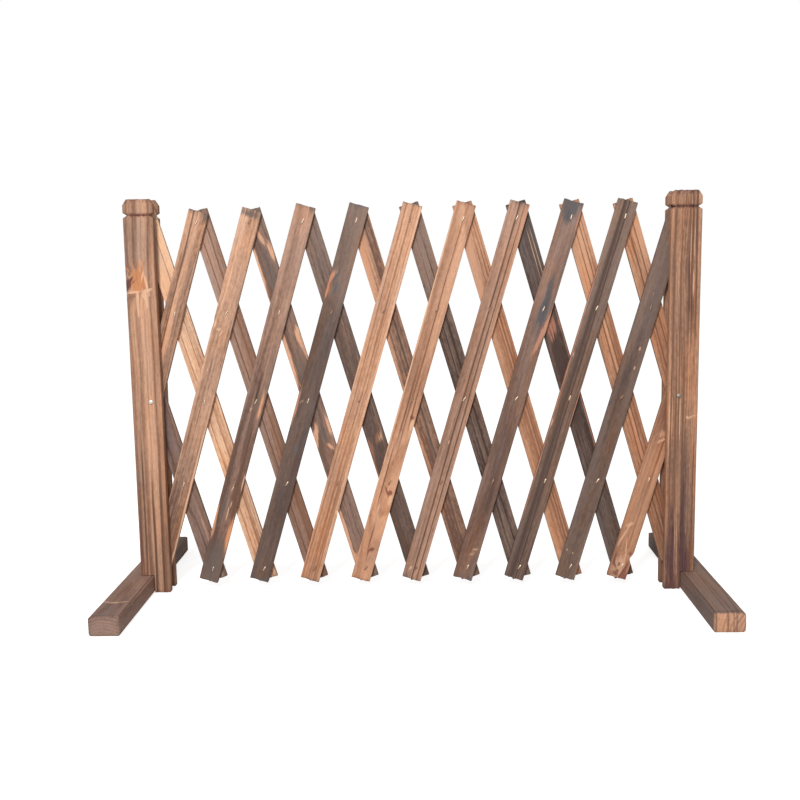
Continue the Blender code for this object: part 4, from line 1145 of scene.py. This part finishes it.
def draw_out(bm, face, move, grow=1.0):
    """Extrudes one end face, scales it about its middle and moves it."""
    end = bmesh.ops.extrude_discrete_faces(bm, faces=[face])["faces"][0]
    middle = end.calc_center_median()
    bmesh.ops.scale(bm, vec=(grow, grow, grow), verts=end.verts, space=Matrix.Translation(-middle))
    bmesh.ops.translate(bm, vec=move, verts=end.verts)
    return end


def clinched_nail(name, place, front, back, swing, material):
    """A nail through both layers. swing turns its tip from straight down, towards the left."""
    bm = bmesh.new()
    turn_at = front + SUNK + BEND_RADIUS - NAIL_RADIUS
    spot = Matrix.Translation((0, (turn_at + back) / 2, 0)) @ Matrix.Rotation(math.pi / 2, 4, 'X')
    bmesh.ops.create_cone(bm, cap_ends=True, segments=NAIL_SIDES, radius1=NAIL_RADIUS,
                          radius2=NAIL_RADIUS, depth=back - turn_at, matrix=spot)
    bm.faces.ensure_lookup_table()
    caps = (face for face in bm.faces if len(face.verts) == NAIL_SIDES)
    end, head = sorted(caps, key=lambda face: face.calc_center_median().y)
    head = draw_out(bm, head, (0, 0, 0), NAIL_HEAD / NAIL_RADIUS)
    head = draw_out(bm, head, (0, NAIL_HEAD_HEIGHT * NAIL_RIM, 0))
    draw_out(bm, head, (0, NAIL_HEAD_HEIGHT * (1 - NAIL_RIM), 0), NAIL_CROWN)
    centre = Vector((0, turn_at, -BEND_RADIUS))
    step = Matrix.Rotation(math.pi / 2 / BEND_STEPS, 3, 'X')
    for _ in range(BEND_STEPS):
        end = draw_out(bm, end, (0, 0, 0))
        bmesh.ops.rotate(bm, cent=centre, matrix=step, verts=end.verts)
    bent, flattened, drawn = (Vector((0, 0, -TIP_LENGTH * share)) for share in TIP_SHARES)
    end = draw_out(bm, end, bent)
    flat = end.verts[:]
    end = draw_out(bm, end, flattened)
    flat += end.verts[:]
    lie = turn_at - BEND_RADIUS
    bmesh.ops.scale(bm, vec=(1 / TIP_FLATTENING, TIP_FLATTENING, 1), verts=flat,
                    space=Matrix.Translation((0, -lie, 0)))
    draw_out(bm, end, drawn, NAIL_POINT)
    bmesh.ops.recalc_face_normals(bm, faces=bm.faces)
    mesh = mesh_from(bm, name)
    mesh.transform(Matrix.Translation(place) @ Matrix.Rotation(swing, 4, 'Y'))
    smooth_shade(mesh, SHARP_STEEL)
    obj = show(name, mesh, material)
    return obj


# %% [markdown]
# The nails stand in five rows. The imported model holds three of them, and the nails of the other
# two rows, whose holes it has, are added here. Each rides with its front slat. In the upper rows
# the tip points down and to the left, and in the two lower rows, which are easier to hammer from
# below, up and to the right. Beside a post the tips lie nearly upright, or they would run into it
# when the fence is closed.

# %% Nail rows
ROWS = {0: "top_nail", 1: "upper_nail", 2: "middle_nail", 3: "lower_nail", 4: "bottom_nail"}
BRIGHT_NAILS = {0: (1, 3, 4, 6, 7, 8, 9), 1: (1, 2, 3, 8, 9), 2: (1, 2, 3, 6, 7, 8),
                3: (1, 3, 8, 9, 10), 4: (1, 2, 6, 7, 8, 9)}
LEAST_SWING = math.radians(14)
MOST_SWING = math.radians(40)
FIRST_ROW_UPWARDS = 3
SWING_SEED = 5
swings = np.random.default_rng(SWING_SEED)
front_face = leaning_box("front_slat_03", LEAN)[0].y
back_face = leaning_box("back_slat_03", -LEAN)[1].y
nails = []
for level, row in ROWS.items():
    first = 1 + level // 2
    count = BAYS - 1 + level % 2
    for index in range(1, count + 1):
        number = index + first - 1
        column = number - level / 2
        material = BRIGHT_STEEL if index in BRIGHT_NAILS[level] else DULL_STEEL
        swing = swings.uniform(LEAST_SWING, MOST_SWING)
        if not 1 <= column <= BAYS - 1:
            swing = LEAST_SWING
        swing = swing + (math.pi if level >= FIRST_ROW_UPWARDS else 0)
        nail = clinched_nail(f"clinched_{row}_{index}", crossing(column, level), front_face,
                             back_face, swing, material)
        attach(nail, f"front_slat_{number:02d}_set")
        if level % 2 == 0:
            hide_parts(f"{row}_{index}")
        nails.append(nail)
print(len(nails), "nails")

# %% [markdown]
# ## Pivot bolts
#
# The middle crossing at each end turns on a bolt through both post boards. A bolt is a turned
# shape, so its profile is spun once round. The nut is a six-sided prism with eased edges.

# %% Bolts and nuts
TURNS = 40
BOLT_HEAD = 0.0034
BOLT_HEAD_HEIGHT = 0.0018
BOLT_RIM = 0.0004
BOLT_SHANK = 0.0017
BOLT_EDGE = 0.0004
DOME_STEPS = 7
NUT_SIDES = 6
NUT_EDGE = 0.0003
NUT_EDGE_STEPS = 2
MERGE = 0.00001


def turned(name, profile, place, material):
    """A profile of (radius, distance towards the front) spun round Y."""
    bm = bmesh.new()
    verts = [bm.verts.new((radius, -forward, 0)) for radius, forward in profile]
    edges = [bm.edges.new(pair) for pair in zip(verts, verts[1:])]
    bmesh.ops.spin(bm, geom=verts + edges, axis=(0, 1, 0), cent=(0, 0, 0), angle=2 * math.pi,
                   steps=TURNS, use_merge=True)
    bmesh.ops.remove_doubles(bm, verts=bm.verts, dist=MERGE)
    bmesh.ops.recalc_face_normals(bm, faces=bm.faces)
    mesh = mesh_from(bm, name)
    mesh.transform(Matrix.Translation(place))
    smooth_shade(mesh, SHARP_STEEL)
    return show(name, mesh, material)


for stand, pin, material in (("left", left_pin, BOLT_STEEL), ("right", right_pin, AGED_STEEL)):
    bolt_low, bolt_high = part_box(stand + "_pivot_bolt")
    nut_low, nut_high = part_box(stand + "_pivot_nut")
    seat = -bolt_low.y - BOLT_HEAD_HEIGHT
    rim, rise = seat + BOLT_RIM, BOLT_HEAD_HEIGHT - BOLT_RIM
    dome = [(BOLT_HEAD * math.sin(angle), rim + rise * math.cos(angle))
            for angle in (math.pi / 2 * step / DOME_STEPS for step in range(DOME_STEPS + 1))]
    shank = [(BOLT_HEAD, seat), (BOLT_SHANK, seat), (BOLT_SHANK, -bolt_high.y + BOLT_EDGE),
             (BOLT_SHANK - BOLT_EDGE, -bolt_high.y), (0, -bolt_high.y)]
    bolt = turned(f"domed_{stand}_pivot_bolt", dome + shank, pin, material)
    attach(bolt, stand + "_stand")
    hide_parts(stand + "_pivot_bolt")

    bm = bmesh.new()
    middle = (nut_low + nut_high) / 2
    radius = (nut_high.x - nut_low.x) / 2
    bmesh.ops.create_cone(bm, cap_ends=True, segments=NUT_SIDES, radius1=radius, radius2=radius,
                          depth=nut_high.y - nut_low.y,
                          matrix=Matrix.Translation(middle) @ Matrix.Rotation(math.pi / 2, 4, 'X'))
    bmesh.ops.bevel(bm, geom=bm.edges, offset=NUT_EDGE, segments=NUT_EDGE_STEPS, profile=0.5,
                    affect='EDGES', material=-1)
    nut = show(f"eased_{stand}_pivot_nut", mesh_from(bm, stand + " nut"), BOLT_STEEL)
    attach(nut, stand + "_stand")
    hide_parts(stand + "_pivot_nut")

# %% [markdown]
# ## Foot screws
#
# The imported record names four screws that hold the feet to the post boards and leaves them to
# this model. Only their countersunk heads show, flush in the outer side of each foot, one for
# each board. A profile with a pit in the middle is spun for each head.

# %% Screws
SCREW_HEAD = 0.0038
SCREW_PIT = 0.0013
SCREW_PIT_DEPTH = 0.0014
SCREW_CONE = 0.0024
SCREW_RIM = 0.0003
SCREW_LENGTH = 0.030
SCREW_FLUSH = 0.0001

for stand, side in (("left", -1), ("right", 1)):
    foot_low, foot_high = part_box(stand + "_foot")
    outer = foot_low.x if side < 0 else foot_high.x
    for board in ("front", "rear"):
        post_low, post_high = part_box(f"{stand}_{board}_post")
        middle = (post_low.y + post_high.y) / 2
        place = Matrix.Translation((outer - side * SCREW_FLUSH, middle, foot_high.z / 2))
        profile = [(0, -SCREW_PIT_DEPTH), (SCREW_PIT, -SCREW_PIT_DEPTH), (SCREW_PIT, -SCREW_RIM),
                   (SCREW_PIT + SCREW_RIM, 0), (SCREW_HEAD - SCREW_RIM, 0),
                   (SCREW_HEAD, -SCREW_RIM), (BOLT_SHANK, -SCREW_CONE),
                   (BOLT_SHANK, -SCREW_LENGTH), (0, -SCREW_LENGTH - SCREW_CONE)]
        screw = turned(f"{stand}_{board}_foot_screw", profile, Vector(), BOLT_STEEL)
        screw.data.transform(place @ Matrix.Rotation(side * math.pi / 2, 4, 'Z'))
        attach(screw, stand + "_stand")

# %% [markdown]
# ## Studio
#
# The fence stands on a white floor in soft daylight: a bright white sky all round, and one large
# lamp in front, above and to the left, which gives the slats their thin shadows. To the camera
# the floor glows a little, so that it reads as white without more light on the wood, and it still
# takes the shadow.

# %% Studio
SKY_STRENGTH = 0.34
LAMP_PLACE = Vector((-0.45, -2.5, 1.95))
LAMP_SIZE = 0.45
LAMP_POWER = 68
FLOOR_SIZE = 30
FLOOR_CELLS = 2
FLOOR_PAINT = 0.8, 0.8, 0.8, 1
FLOOR_GLOW = 0.76


def studio_floor():
    bm = bmesh.new()
    bmesh.ops.create_grid(bm, x_segments=FLOOR_CELLS, y_segments=FLOOR_CELLS, size=FLOOR_SIZE / 2)
    material, tree = new_material("white floor")
    tree.nodes.remove(tree.nodes["Principled BSDF"])
    camera_ray = add(tree, "ShaderNodeLightPath").outputs["Is Camera Ray"]
    paint = add(tree, "ShaderNodeBsdfDiffuse", {"Color": FLOOR_PAINT})
    seen_glow = calculate(tree, 'MULTIPLY', camera_ray, FLOOR_GLOW)
    glow = add(tree, "ShaderNodeEmission", {"Strength": seen_glow})
    both = add(tree, "ShaderNodeAddShader", {0: paint.outputs[0], 1: glow.outputs[0]})
    tree.links.new(both.outputs[0], tree.nodes["Material Output"].inputs["Surface"])
    floor = show("studio_floor", mesh_from(bm, "studio floor"), material)


def studio_sky():
    world = bpy.data.worlds.new("white sky")
    world.use_nodes = True
    tree = world.node_tree
    path = add(tree, "ShaderNodeLightPath").outputs
    seen = calculate(tree, 'MAXIMUM', path["Is Camera Ray"], path["Is Glossy Ray"])
    more = calculate(tree, 'MULTIPLY', seen, 1 - SKY_STRENGTH)
    strength = calculate(tree, 'ADD', more, SKY_STRENGTH)
    tree.nodes["Background"].inputs["Color"].default_value = (1, 1, 1, 1)
    tree.links.new(strength, tree.nodes["Background"].inputs["Strength"])
    bpy.context.scene.world = world


def studio_lamp():
    lamp = bpy.data.lights.new("window", 'AREA')
    lamp.shape = 'SQUARE'
    lamp.size = LAMP_SIZE
    lamp.energy = LAMP_POWER
    obj = bpy.data.objects.new("window", lamp)
    bpy.context.scene.collection.objects.link(obj)
    obj.location = LAMP_PLACE
    aim = Vector((0, 0, (cad_low.z + cad_high.z) / 2)) - LAMP_PLACE
    obj.rotation_euler = aim.to_track_quat('-Z', 'Y').to_euler()


studio_floor()
studio_sky()
studio_lamp()

# %% [markdown]
# ## Camera
#
# The camera's place was found by matching the corners of the posts, the feet and the crossings
# with the photograph: a little to the right of the middle, at the height of the upper crossings,
# looking slightly down. The focal length is given for a sensor 36 mm wide and a square picture.

# %% Camera
PICTURE = 800
SENSOR = 36.0
FOCAL_PIXELS = 1031.1
CAMERA_PLACE = Vector((0.0200, -1.5502, 0.5123))
LOOK_DOWN = math.radians(8.019)
LOOK_LEFT = math.radians(1.486)
TILT = math.radians(0.898)

camera_data = bpy.data.cameras.new("camera")
camera_data.sensor_fit = 'HORIZONTAL'
camera_data.sensor_width = SENSOR
camera_data.lens = FOCAL_PIXELS / PICTURE * SENSOR
camera = bpy.data.objects.new("camera", camera_data)
bpy.context.scene.collection.objects.link(camera)
camera.matrix_world = (Matrix.Translation(CAMERA_PLACE) @ Matrix.Rotation(LOOK_LEFT, 4, 'Z')
                       @ Matrix.Rotation(math.pi / 2 - LOOK_DOWN, 4, 'X')
                       @ Matrix.Rotation(-TILT, 4, 'Z'))
bpy.context.scene.camera = camera
bpy.context.scene.view_settings.view_transform = 'Standard'
